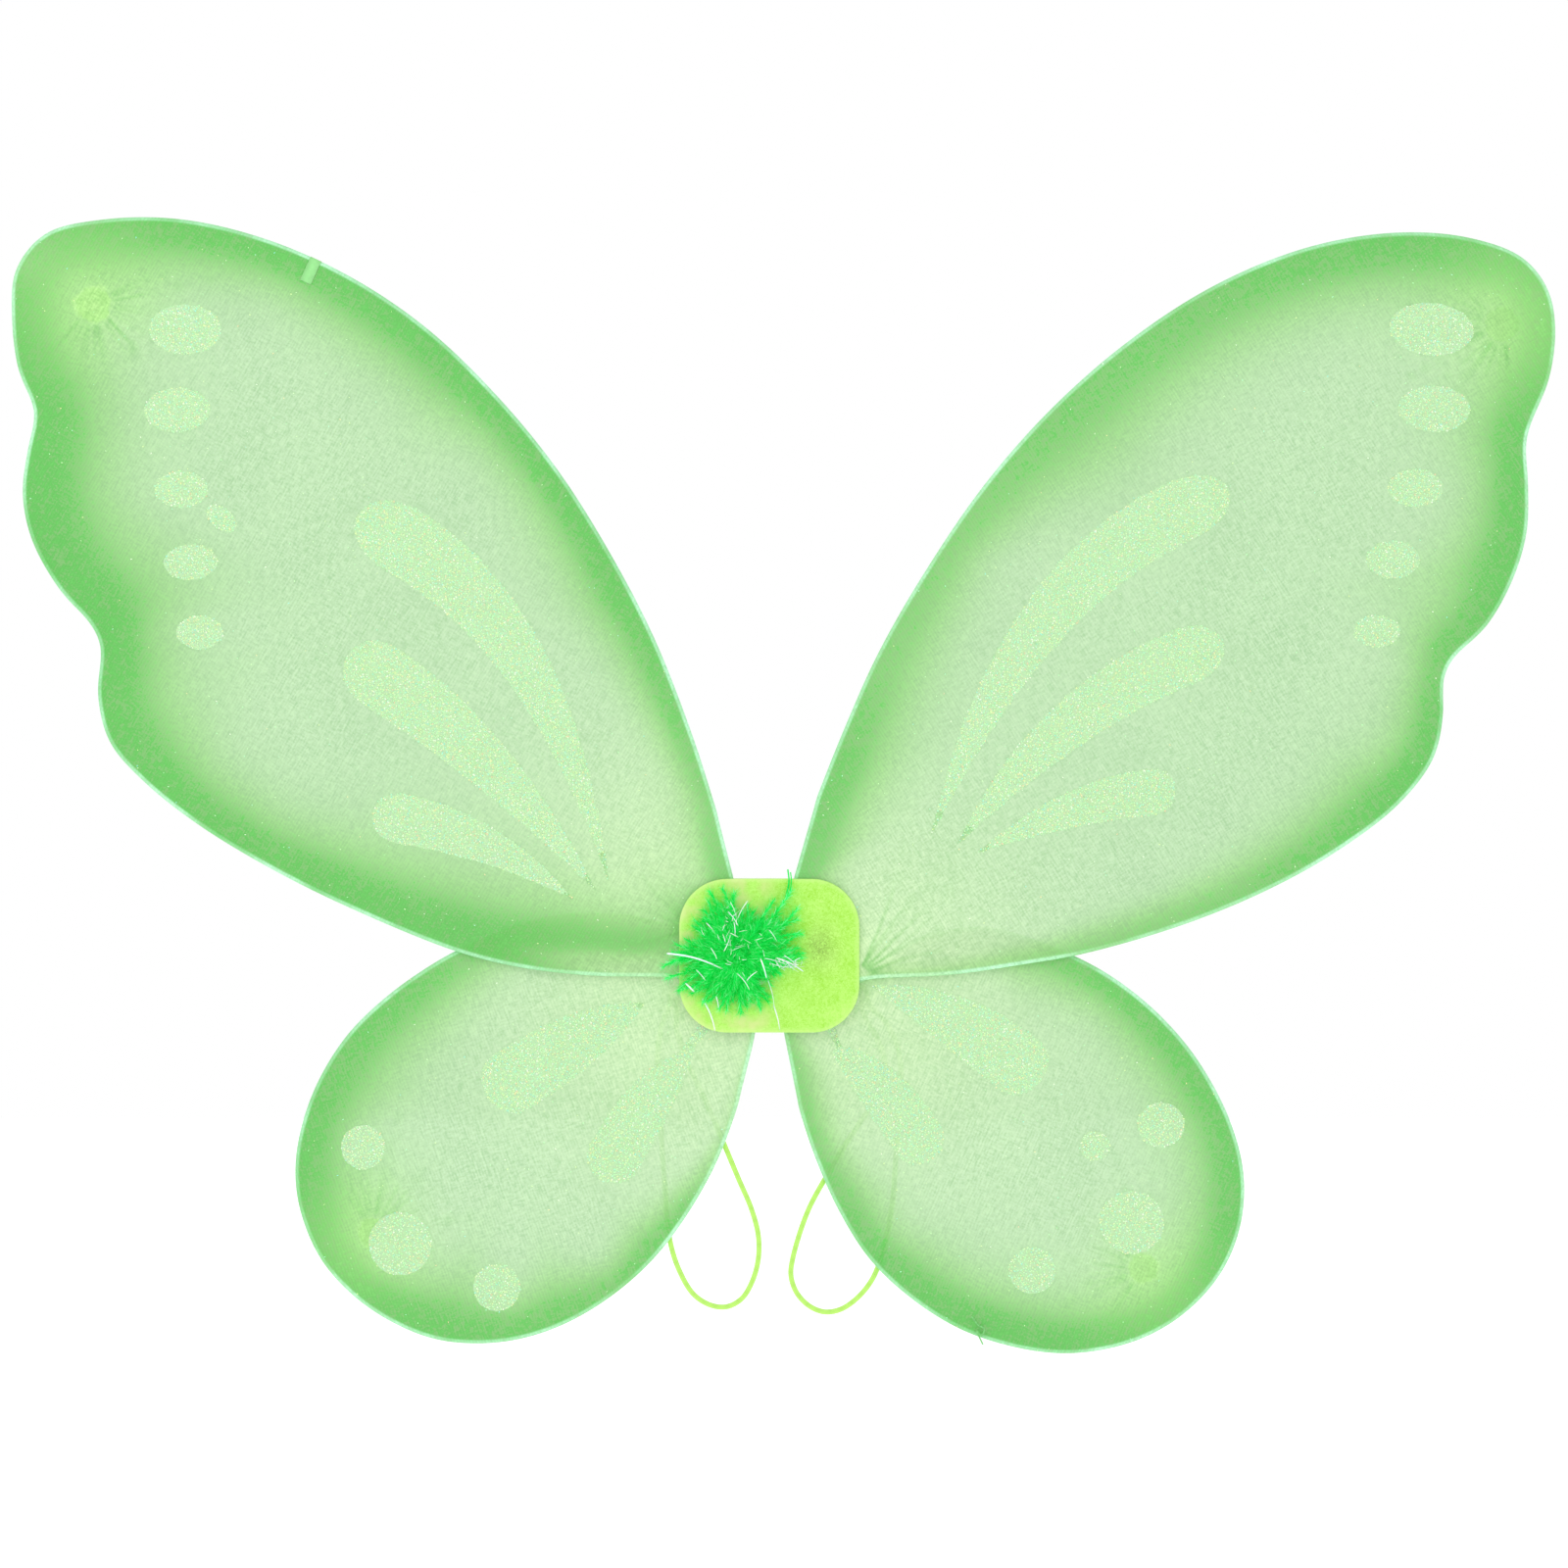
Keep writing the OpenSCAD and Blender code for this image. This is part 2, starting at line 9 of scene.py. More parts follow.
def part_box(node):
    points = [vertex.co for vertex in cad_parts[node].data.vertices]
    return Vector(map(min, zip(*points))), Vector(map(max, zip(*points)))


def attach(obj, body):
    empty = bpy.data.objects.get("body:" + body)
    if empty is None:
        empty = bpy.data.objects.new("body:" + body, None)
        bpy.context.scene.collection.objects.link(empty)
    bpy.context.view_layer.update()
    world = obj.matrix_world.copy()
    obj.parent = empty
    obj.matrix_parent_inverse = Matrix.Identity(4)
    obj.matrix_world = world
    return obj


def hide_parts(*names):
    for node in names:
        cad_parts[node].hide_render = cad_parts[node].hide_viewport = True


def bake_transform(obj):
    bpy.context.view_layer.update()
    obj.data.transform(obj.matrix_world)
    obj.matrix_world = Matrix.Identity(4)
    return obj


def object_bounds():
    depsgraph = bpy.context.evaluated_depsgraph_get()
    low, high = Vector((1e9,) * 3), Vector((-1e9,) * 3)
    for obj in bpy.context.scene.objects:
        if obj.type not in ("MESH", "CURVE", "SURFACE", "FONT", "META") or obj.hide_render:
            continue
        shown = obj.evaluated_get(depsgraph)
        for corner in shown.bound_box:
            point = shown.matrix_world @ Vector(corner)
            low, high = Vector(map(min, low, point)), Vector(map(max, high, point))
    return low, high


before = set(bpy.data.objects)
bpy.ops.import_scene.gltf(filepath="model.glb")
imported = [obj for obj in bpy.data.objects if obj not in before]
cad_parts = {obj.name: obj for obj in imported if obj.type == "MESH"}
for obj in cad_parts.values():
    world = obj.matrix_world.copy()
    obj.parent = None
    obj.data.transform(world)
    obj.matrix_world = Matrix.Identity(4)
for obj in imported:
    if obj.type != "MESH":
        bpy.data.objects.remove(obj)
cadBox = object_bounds()
scene = bpy.context.scene
mm = 0.001
print("packed model loaded")

cameraSettings = {
    "lens": 135.0,                      # long lens, so that the flat wings keep their proportions
    "sensor": 36.0,
    "frameWidth": 0.592,                # how much of the wings' plane the view takes in
    "offset": (0.0002, 0.0, 0.0006),    # from the middle of the whole object
}
lightSettings = {
    "worldStrength": 1.0,
    "keyPower": 4.0,
    "keySize": 1.2,
    "keyPlace": (-0.5, -1.5, 1.1),
    "keyColour": "#FFFDF8",
    "floorDrop": 0.14,
    "floorSize": 8.0,
    "floorColour": "#FFFFFF",
    "floorGlow": 0.25,
}


def linearColour(hexColour):
    channels = [int(hexColour[i:i + 2], 16) / 255 for i in (1, 3, 5)]
    linear = [c / 12.92 if c <= 0.04045 else ((c + 0.055) / 1.055) ** 2.4 for c in channels]
    return (*linear, 1.0)


def addNode(tree, kind, settings=None, inputs=None):
    node = tree.nodes.new(kind)
    for key, value in (settings or {}).items():
        setattr(node, key, value)
    for key, value in (inputs or {}).items():
        socket = node.inputs[key]
        if isinstance(value, bpy.types.NodeSocket):
            tree.links.new(value, socket)
        else:
            socket.default_value = value
    return node


def addCamera(settings):
    low, high = cadBox
    middle = (low + high) / 2 + Vector(settings["offset"])
    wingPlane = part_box("upper_left_cover")[0].y
    distance = settings["frameWidth"] * settings["lens"] / settings["sensor"]
    camera = bpy.data.cameras.new("camera")
    camera.lens = settings["lens"]
    camera.sensor_width = settings["sensor"]
    camera.clip_end = 50
    view = bpy.data.objects.new("camera", camera)
    view.location = (middle.x, wingPlane - distance, middle.z)
    view.rotation_euler = (math.radians(90), 0, 0)
    scene.collection.objects.link(view)
    scene.camera = view


def addLights(settings):
    world = bpy.data.worlds.new("paleStudio")
    world.use_nodes = True
    background = world.node_tree.nodes["Background"]
    background.inputs["Color"].default_value = linearColour("#FFFFFF")
    background.inputs["Strength"].default_value = settings["worldStrength"]
    scene.world = world
    lamp = bpy.data.lights.new("softKey", "AREA")
    lamp.energy = settings["keyPower"]
    lamp.size = settings["keySize"]
    lamp.color = linearColour(settings["keyColour"])[:3]
    key = bpy.data.objects.new("softKey", lamp)
    key.location = settings["keyPlace"]
    aim = Vector((0, 0, 0.05)) - key.location
    key.rotation_euler = aim.to_track_quat("-Z", "Y").to_euler()
    scene.collection.objects.link(key)
    scene.view_settings.view_transform = "Standard"


def addFloor(settings):
    half = settings["floorSize"] / 2
    z = cadBox[0].z - settings["floorDrop"]
    mesh = bpy.data.meshes.new("floor")
    corners = [(-half, -half, z), (half, -half, z), (half, half, z), (-half, half, z)]
    mesh.from_pydata(corners, [], [(0, 1, 2, 3)])
    floor = bpy.data.objects.new("floor", mesh)
    scene.collection.objects.link(floor)
    material, _, surface = startMaterial("paleFloor")
    surface.inputs["Base Color"].default_value = linearColour(settings["floorColour"])
    surface.inputs["Roughness"].default_value = 0.9
    surface.inputs["Emission Color"].default_value = linearColour(settings["floorColour"])
    surface.inputs["Emission Strength"].default_value = settings["floorGlow"]
    mesh.materials.append(material)


def startMaterial(name):
    material = bpy.data.materials.new(name)
    material.use_nodes = True
    tree = material.node_tree
    tree.nodes.clear()
    surface = addNode(tree, "ShaderNodeBsdfPrincipled")
    addNode(tree, "ShaderNodeOutputMaterial", inputs={"Surface": surface.outputs[0]})
    return material, tree, surface


def mixColour(tree, factor, a, b, blend="MIX"):
    return addNode(tree, "ShaderNodeMix", {"data_type": "RGBA", "blend_type": blend},
                   {0: factor, 6: a, 7: b}).outputs[2]


def compute(tree, operation, a, b=0.0, c=0.0):
    return addNode(tree, "ShaderNodeMath", {"operation": operation}, {0: a, 1: b, 2: c}).outputs[0]


def attribute(tree, name):
    return addNode(tree, "ShaderNodeAttribute", {"attribute_name": name}).outputs["Fac"]


addCamera(cameraSettings)
addLights(lightSettings)
addFloor(lightSettings)
print("camera, light and floor in place")


def meshObject(name, points, faces, values=None, material=None):
    mesh = bpy.data.meshes.new(name)
    mesh.from_pydata([tuple(p) for p in points], [], [tuple(int(i) for i in f) for f in faces])
    for label, numbers in (values or {}).items():
        layer = mesh.attributes.new(label, "FLOAT", "POINT")
        layer.data.foreach_set("value", np.asarray(numbers, np.float32))
    mesh.shade_smooth()
    if material:
        mesh.materials.append(material)
    made = bpy.data.objects.new(name, mesh)
    scene.collection.objects.link(made)
    return made


# Outlines of a CAD plate, read from the faces that look towards -Y, as [x, z] loops.
def frontLoops(node):
    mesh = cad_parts[node].data
    corners = np.array([v.co for v in mesh.vertices])
    names, places = {}, []
    index = []
    for corner in corners:
        key = tuple(np.round(corner * 1e6).astype(int))
        if key not in names:
            names[key] = len(places)
            places.append(corner)
        index.append(names[key])
    edges = set()
    for polygon in mesh.polygons:
        ids = [index[i] for i in polygon.vertices]
        a, b, c = (places[i] for i in ids[:3])
        normal = np.cross(b - a, c - a)
        size = np.linalg.norm(normal)
        if size < 1e-16 or normal[1] / size > -0.9:
            continue
        edges.update(zip(ids, ids[1:] + ids[:1]))
    follow = {a: b for a, b in edges if (b, a) not in edges}
    loops = []
    while follow:
        start, there = follow.popitem()
        chain = [start]
        while there != start and there in follow:
            chain.append(there)
            there = follow.pop(there)
        loops.append(np.array([places[i][[0, 2]] for i in chain]))
    return sorted(loops, key=lambda loop: -abs(loopArea(loop)))


def loopArea(loop):
    x, z = loop[:, 0], loop[:, 1]
    return 0.5 * float(np.sum(x * np.roll(z, -1) - np.roll(x, -1) * z))


def openAtLongest(loop):
    gaps = np.linalg.norm(np.roll(loop, -1, axis=0) - loop, axis=1)
    return np.roll(loop, -int(np.argmax(gaps)) - 1, axis=0)


def evenly(path, spacing, closed):
    if closed:
        path = np.vstack([path, path[:1]])
    steps = np.linalg.norm(np.diff(path, axis=0), axis=1)
    travelled = np.concatenate([[0], np.cumsum(steps)])
    count = max(3, int(round(travelled[-1] / spacing)))
    marks = np.linspace(0, travelled[-1], count + 1)
    if closed:
        marks = marks[:-1]
    return np.column_stack([np.interp(marks, travelled, path[:, k]) for k in range(path.shape[1])])


def softened(loop, rounds):
    for _ in range(rounds):
        loop = 0.5 * loop + 0.25 * (np.roll(loop, 1, axis=0) + np.roll(loop, -1, axis=0))
    return loop


def distanceTo(points, loop):
    ends = np.roll(loop, -1, axis=0)
    best = np.full(len(points), 1e9)
    for a, b in zip(loop, ends):
        step = b - a
        share = np.clip(((points - a) @ step) / max(step @ step, 1e-18), 0, 1)
        best = np.minimum(best, np.linalg.norm(points - a - share[:, None] * step, axis=1))
    return best


def inside(points, loop):
    ends = np.roll(loop, -1, axis=0)
    odd = np.zeros(len(points), bool)
    for a, b in zip(loop, ends):
        if a[1] == b[1]:
            continue
        crosses = (a[1] > points[:, 1]) != (b[1] > points[:, 1])
        at = a[0] + (points[:, 1] - a[1]) * (b[0] - a[0]) / (b[1] - a[1])
        odd ^= crosses & (points[:, 0] < at)
    return odd


# Loop moved sideways, outwards where the distance is positive, without the points that fold over.
def moved(loop, distance):
    along = np.roll(loop, -1, axis=0) - np.roll(loop, 1, axis=0)
    along /= np.linalg.norm(along, axis=1)[:, None]
    normal = np.column_stack([along[:, 1], -along[:, 0]]) * (1 if loopArea(loop) > 0 else -1)
    shifted = loop + distance * normal
    return shifted[distanceTo(shifted, loop) > abs(distance) * 0.97]


def hexGrid(low, high, spacing):
    rows = np.arange(low[1], high[1], spacing * 0.866)
    points = []
    for k, z in enumerate(rows):
        xs = np.arange(low[0] + (k % 2) * spacing / 2, high[0], spacing)
        points.append(np.column_stack([xs, np.full(len(xs), z)]))
    return np.vstack(points)


# Flat triangle net inside a loop: the rim, rings just inside it, and a grid that is finer at each spot.
def net(loop, rings, spacing, spots=()):
    parts = [loop]
    for depth in rings:
        parts.append(moved(loop, -depth))
    clear = (rings[-1] if rings else 0) + spacing * 0.55
    grids = [(None, spacing)] + [(spot, spot["grid"]) for spot in spots]
    for spot, step in grids:
        low, high = loop.min(0), loop.max(0)
        if spot:
            centre = np.array(spot["centre"])
            low = np.maximum(low, centre - spot["radius"])
            high = np.minimum(high, centre + spot["radius"])
        grid = hexGrid(low, high, step)
        keep = inside(grid, loop)
        grid = grid[keep]
        grid = grid[distanceTo(grid, loop) > min(clear, rings[-1] + step * 0.55 if rings else step * 0.55)]
        for other in spots:
            apart = np.linalg.norm(grid - np.array(other["centre"]), axis=1)
            if spot is None:
                grid = grid[apart > other["radius"] + step * 0.4]
            elif other is spot:
                grid = grid[apart <= other["radius"]]
        parts.append(grid)
    points = np.vstack(parts)
    flat = [Vector(p * 1000) for p in points]
    made = delaunay_2d_cdt(flat, [], [list(range(len(loop)))], 1, 1e-5)
    places = np.array([tuple(p) for p in made[0]]) / 1000
    faces = [f for f in made[2] if len(f) == 3]
    return places, faces


# Closed two-layer body over a flat net. thickness(depth) is the half thickness at that depth from the rim.
def twoLayers(name, loop, rings, spacing, middle, thickness, values, material, spots=(), lift=None):
    places, faces = net(loop, rings, spacing, spots)
    depth = distanceTo(places, loop)
    rim = depth < 1e-6
    half = np.where(rim, 0, thickness(depth))
    fold = lift(places, depth) if lift else np.zeros(len(places))
    front = np.column_stack([places[:, 0], middle - half + fold, places[:, 1]])
    back = np.column_stack([places[:, 0], middle + half - fold, places[:, 1]])
    twin = np.where(rim, np.arange(len(places)), 0)
    twin[~rim] = len(places) + np.arange((~rim).sum())
    points = np.vstack([front, back[~rim]])
    shown = []
    for a, b, c in faces:
        u, v = places[b] - places[a], places[c] - places[a]
        turn = u[0] * v[1] - u[1] * v[0]
        if turn < 0:
            a, c = c, a
        shown.append((a, b, c))
        shown.append((twin[c], twin[b], twin[a]))
    both = {k: np.concatenate([n, n[~rim]]) for k, n in values(places, depth).items()}
    return meshObject(name, points, shown, both, material)


def smoothstep(x):
    x = np.clip(x, 0, 1)
    return x * x * (3 - 2 * x)


# Centripetal curve through the points, evenly spaced, as the CAD sweeps its elastic.
def smoothPath(points, spacing):
    points = np.asarray(points, float)
    path = []
    for i in range(len(points) - 1):
        b, c = points[i], points[i + 1]
        a = points[i - 1] if i else 2 * b - c
        d = points[i + 2] if i < len(points) - 2 else 2 * c - b
        g1, g2, g3 = (max(math.sqrt(np.linalg.norm(q - p)), 1e-4) for p, q in ((a, b), (b, c), (c, d)))
        leave = g2 * ((b - a) / g1 - (c - a) / (g1 + g2) + (c - b) / g2)
        arrive = g2 * ((c - b) / g2 - (d - b) / (g2 + g3) + (d - c) / g3)
        for t in np.linspace(0, 1, 12, endpoint=False):
            path.append((2 * t**3 - 3 * t * t + 1) * b + (t**3 - 2 * t * t + t) * leave
                        + (3 * t * t - 2 * t**3) * c + (t**3 - t * t) * arrive)
    path.append(points[-1])
    return evenly(np.array(path), spacing, False)


# Tube along a path, rounded off at each end by two smaller rings. relief(around, along) adds to the radius.
def tube(name, path, radius, sides, material, relief=None):
    path = np.asarray(path, float)
    ahead = np.gradient(path, axis=0)
    ahead /= np.linalg.norm(ahead, axis=1)[:, None]
    steps = np.linalg.norm(np.diff(path, axis=0), axis=1)
    travelled = np.concatenate([[0], np.cumsum(steps)])
    up = np.array([0.0, 1.0, 0.0])
    if abs(ahead[0] @ up) > 0.9:
        up = np.array([1.0, 0.0, 0.0])
    around = 2 * math.pi * np.arange(sides) / sides
    rows = []
    for i in range(len(path)):
        up = up - (up @ ahead[i]) * ahead[i]
        up /= np.linalg.norm(up)
        side = np.cross(ahead[i], up)
        size = radius + (relief(around, travelled[i]) if relief else np.zeros(sides))
        ring = np.cos(around)[:, None] * up + np.sin(around)[:, None] * side
        capped = [(share, ahead[i] * radius * math.sqrt(1 - share * share) * 0.9) for share in (0.35, 0.8)]
        if i == 0:
            rows += [(path[0] - out, ring, size * share, -1) for share, out in capped]
        rows.append((path[i], ring, size, travelled[i]))
        if i == len(path) - 1:
            rows += [(path[i] + out, ring, size * share, -1) for share, out in reversed(capped)]
    points = np.vstack([centre + size[:, None] * ring for centre, ring, size, _ in rows])
    faces = []
    for r in range(len(rows) - 1):
        for k in range(sides):
            n = (k + 1) % sides
            faces.append((r * sides + k, r * sides + n, (r + 1) * sides + n, (r + 1) * sides + k))
    faces.append(tuple(range(sides))[::-1])
    faces.append(tuple((len(rows) - 1) * sides + k for k in range(sides)))
    lengths = np.repeat([max(0.0, row[3]) for row in rows], sides)
    angles = np.tile(around, len(rows))
    return meshObject(name, points, faces, {"along": lengths, "around": angles}, material)



def makeTree(name, sizes):
    tree = bpy.data.node_groups.new(name, "GeometryNodeTree")
    tree.interface.new_socket("Geometry", in_out="INPUT", socket_type="NodeSocketGeometry")
    tree.interface.new_socket("Geometry", in_out="OUTPUT", socket_type="NodeSocketGeometry")
    for label, value in sizes.items():
        kind = "NodeSocketFloat"
        if isinstance(value, int):
            kind = "NodeSocketInt"
        if isinstance(value, bpy.types.Object):
            kind = "NodeSocketObject"
        if isinstance(value, bpy.types.Material):
            kind = "NodeSocketMaterial"
        tree.interface.new_socket(label, in_out="INPUT", socket_type=kind)
    return tree, tree.nodes.new("NodeGroupInput").outputs


def grow(name, source, tree, sizes, keepSource=False):
    modifier = source.modifiers.new("grow", "NODES")
    modifier.node_group = tree
    for socket in tree.interface.items_tree:
        if socket.in_out == "INPUT" and socket.name in sizes:
            modifier[socket.identifier] = sizes[socket.name]
    bpy.context.view_layer.update()
    graph = bpy.context.evaluated_depsgraph_get()
    mesh = bpy.data.meshes.new_from_object(source.evaluated_get(graph), depsgraph=graph)
    mesh.name = name
    source.modifiers.remove(modifier)
    grown = bpy.data.objects.new(name, mesh)
    scene.collection.objects.link(grown)
    if not keepSource:
        bpy.data.objects.remove(source)
    return grown


def randomNumber(tree, low, high, seed):
    node = addNode(tree, "FunctionNodeRandomValue", {"data_type": "FLOAT"}, {"Seed": seed})
    node.inputs[2].default_value = low
    node.inputs[3].default_value = high
    return node.outputs[1]


# Small things scattered over a surface: flakes lie nearly flat on it, fibres stand up from it.
def scatterTree(name, sizes, tilt, seed, facing=2.0):
    tree, given = makeTree(name, sizes)
    towards = addNode(tree, "ShaderNodeSeparateXYZ",
                      inputs={0: addNode(tree, "GeometryNodeInputNormal").outputs[0]}).outputs[1]
    spread = addNode(tree, "GeometryNodeDistributePointsOnFaces", {"distribute_method": "RANDOM"},
                     {"Mesh": given["Geometry"], "Density": given["Density"], "Seed": seed,
                      "Selection": compute(tree, "LESS_THAN", towards, facing)})
    thing = addNode(tree, "GeometryNodeObjectInfo", inputs={"Object": given["Thing"]})
    spin = addNode(tree, "FunctionNodeEulerToRotation", inputs={"Euler": addNode(
        tree, "ShaderNodeCombineXYZ", inputs={"Z": randomNumber(tree, 0, 6.28, seed + 1)}).outputs[0]})
    lean = addNode(tree, "FunctionNodeEulerToRotation", inputs={"Euler": addNode(
        tree, "ShaderNodeCombineXYZ", inputs={
            "X": randomNumber(tree, tilt[0], tilt[1], seed + 2)}).outputs[0]})
    turned = addNode(tree, "FunctionNodeRotateRotation", {"rotation_space": "LOCAL"},
                     {"Rotation": spread.outputs["Rotation"], "Rotate By": spin.outputs[0]})
    tilted = addNode(tree, "FunctionNodeRotateRotation", {"rotation_space": "LOCAL"},
                     {"Rotation": turned.outputs[0], "Rotate By": lean.outputs[0]})
    placed = addNode(tree, "GeometryNodeInstanceOnPoints", inputs={
        "Points": spread.outputs["Points"], "Instance": thing.outputs["Geometry"],
        "Rotation": tilted.outputs[0], "Scale": randomNumber(tree, 0.6, 1.15, seed + 3)})
    tinted = addNode(tree, "GeometryNodeStoreNamedAttribute", {"data_type": "FLOAT", "domain": "INSTANCE"},
                     {"Geometry": placed.outputs[0], "Name": "tint"})
    tree.links.new(randomNumber(tree, 0, 1, seed + 4), tinted.inputs["Value"])
    whole = addNode(tree, "GeometryNodeRealizeInstances", inputs={"Geometry": tinted.outputs[0]})
    dressed = addNode(tree, "GeometryNodeSetMaterial",
                      inputs={"Geometry": whole.outputs[0], "Material": given["Finish"]})
    addNode(tree, "NodeGroupOutput", inputs={"Geometry": dressed.outputs[0]})
    return tree


# Scale of a noise pattern, and of a band pattern, for marks of a size in mm.
def noiseScale(size):
    return 1 / (size * mm)


def bandScale(size):
    return math.pi / 10 / (size * mm)


nylonColours = {
    "sheer": "#B8DCAD",                 # unpainted stocking
    "sprayed": "#60BE56",               # airbrushed rim
    "faded": "#A2DA78",                 # where the spray thins out
    "lime": "#DAF6BC",                  # thicker, yellower where the nylon is bunched
    "tied": "#BAEE94",
    "hem": "#B6EFC6",                   # paper-wrapped wire showing through at the rim
    "fold": "#7CC766",                  # shade in a crease
    "sheerAlpha": 0.72,                 # one layer of two
    "sprayedAlpha": 0.86,
    "rowPitch": 1.1,                    # mm; the real rows are finer, drawn coarse enough to show
    "threadSize": 0.87,                 # mm; drawn coarse enough to show, too
    "litThrough": 0.65,                 # how much more light the thin cloth lets pass than it shows
}


# Noise drawn out along one axis, so that it reads as rows of knitted thread.
def threads(tree, place, stretch, scale):
    drawn = addNode(tree, "ShaderNodeMapping", inputs={"Vector": place, "Scale": stretch}).outputs[0]
    return addNode(tree, "ShaderNodeTexNoise", inputs={
        "Vector": drawn, "Scale": scale, "Detail": 1.0, "Roughness": 0.5}).outputs["Fac"]


# Sheer stocking nylon, warp-knitted: soft fine rows in two directions, see-through, sprayed at the rim.
def nylonMaterial(name, angle, colours):
    material, tree, surface = startMaterial(name)
    place = addNode(tree, "ShaderNodeTexCoord").outputs["Object"]
    turned = addNode(tree, "ShaderNodeMapping",
                     inputs={"Vector": place, "Rotation": (0, math.radians(angle), 0)}).outputs[0]
    grain = addNode(tree, "ShaderNodeTexNoise",
                    inputs={"Vector": place, "Scale": noiseScale(0.77), "Detail": 2.0,
                            "Roughness": 0.8}).outputs["Fac"]
    cloud = addNode(tree, "ShaderNodeTexNoise",
                    inputs={"Vector": place, "Scale": noiseScale(26), "Detail": 3.0}).outputs["Fac"]
    weave = compute(tree, "ADD", threads(tree, turned, (1.0, 1.0, 0.2), noiseScale(colours["threadSize"])),
                    threads(tree, turned, (0.3, 1.0, 1.0), noiseScale(colours["threadSize"])))
    rows = addNode(tree, "ShaderNodeTexWave", {"wave_type": "BANDS", "bands_direction": "X"}, {
        "Vector": turned, "Scale": bandScale(colours["rowPitch"]), "Distortion": 1.2, "Detail": 1.0,
        "Detail Scale": 0.6}).outputs["Fac"]
    speck = compute(tree, "SUBTRACT", compute(tree, "MULTIPLY_ADD", grain, 0.6,
                                              compute(tree, "MULTIPLY", weave, 0.5)), 0.8)
    paint = attribute(tree, "paint")
    uneven = compute(tree, "MULTIPLY_ADD", speck, compute(tree, "MULTIPLY_ADD", paint, 1.5, 0.25), paint)
    uneven = compute(tree, "MULTIPLY_ADD", compute(tree, "SUBTRACT", cloud, 0.5), 0.14, uneven)
    mixed = addNode(tree, "ShaderNodeMapRange",
                    inputs={"Value": uneven, "From Min": 0.03, "From Max": 1.04}).outputs[0]
    colour = mixColour(tree, mixed, linearColour(colours["sheer"]), linearColour(colours["sprayed"]))
    thinning = compute(tree, "MULTIPLY", mixed, compute(tree, "SUBTRACT", 1.0, mixed))
    thinning = compute(tree, "MULTIPLY", thinning, 1.1)
    colour = mixColour(tree, thinning, colour, linearColour(colours["faded"]))
    colour = mixColour(tree, attribute(tree, "lime"), colour, linearColour(colours["lime"]))
    colour = mixColour(tree, attribute(tree, "tied"), colour, linearColour(colours["tied"]))
    colour = mixColour(tree, attribute(tree, "fold"), colour, linearColour(colours["fold"]))
    patchy = addNode(tree, "ShaderNodeMapRange", inputs={
        "Value": cloud, "From Min": 0.3, "From Max": 0.65, "To Min": 0.2, "To Max": 0.85}).outputs[0]
    hem = compute(tree, "MULTIPLY", attribute(tree, "hem"), patchy)
    colour = mixColour(tree, hem, colour, linearColour(colours["hem"]))
    shade = addNode(tree, "ShaderNodeMapRange", inputs={
        "Value": compute(tree, "MULTIPLY_ADD", rows, 0.14, compute(
            tree, "MULTIPLY_ADD", cloud, 0.35, compute(tree, "ADD", grain, weave))),
        "From Min": 1.37, "From Max": 2.12, "To Min": 0.78, "To Max": 1.22}).outputs[0]
    colour = mixColour(tree, 1.0, colour, addNode(tree, "ShaderNodeCombineColor", inputs={
        0: shade, 1: compute(tree, "MULTIPLY_ADD", shade, 0.6, 0.4), 2: shade}).outputs[0], "MULTIPLY")
    tree.links.new(colour, surface.inputs["Base Color"])
    solid = addNode(tree, "ShaderNodeMapRange", inputs={
        "Value": compute(tree, "MAXIMUM", mixed, compute(tree, "MAXIMUM", attribute(tree, "lime"), hem)),
        "To Min": colours["sheerAlpha"], "To Max": colours["sprayedAlpha"]}).outputs[0]
    edge = compute(tree, "MINIMUM", compute(tree, "MULTIPLY_ADD", attribute(tree, "hem"), 0.2, solid), 1.0)
    tree.links.new(letLightPass(tree, edge, colours["litThrough"]), surface.inputs["Alpha"])
    bump = addNode(tree, "ShaderNodeBump", inputs={"Strength": 0.2, "Distance": 0.0001, "Height": weave})
    tree.links.new(bump.outputs[0], surface.inputs["Normal"])
    surface.inputs["Roughness"].default_value = 0.55
    surface.inputs["Specular IOR Level"].default_value = 0.2
    return material


# Thin film and cloth scatter light onward, so their shadows are fainter than they look.
def letLightPass(tree, alpha, share):
    shadow = addNode(tree, "ShaderNodeLightPath").outputs["Is Shadow Ray"]
    return compute(tree, "MULTIPLY", alpha, compute(tree, "MULTIPLY_ADD", shadow, -share, 1.0))


# Round elastic: braided polyester over rubber, dull, with the braid as relief and dark gaps.
def elasticMaterial():
    material, tree, surface = startMaterial("braidedElastic")
    place = addNode(tree, "ShaderNodeTexCoord").outputs["Object"]
    fuzz = addNode(tree, "ShaderNodeTexNoise",
                   inputs={"Vector": place, "Scale": noiseScale(0.4), "Detail": 3.0}).outputs["Fac"]
    colour = mixColour(tree, attribute(tree, "gap"), linearColour("#B4EC66"), linearColour("#86BE3E"))
    colour = mixColour(tree, compute(tree, "MULTIPLY", fuzz, 0.35), colour, linearColour("#D4F79A"))
    tree.links.new(colour, surface.inputs["Base Color"])
    bump = addNode(tree, "ShaderNodeBump", inputs={"Strength": 0.3, "Distance": 0.00005, "Height": fuzz})
    tree.links.new(bump.outputs[0], surface.inputs["Normal"])
    surface.inputs["Roughness"].default_value = 0.7
    surface.inputs["Specular IOR Level"].default_value = 0.25
    return material


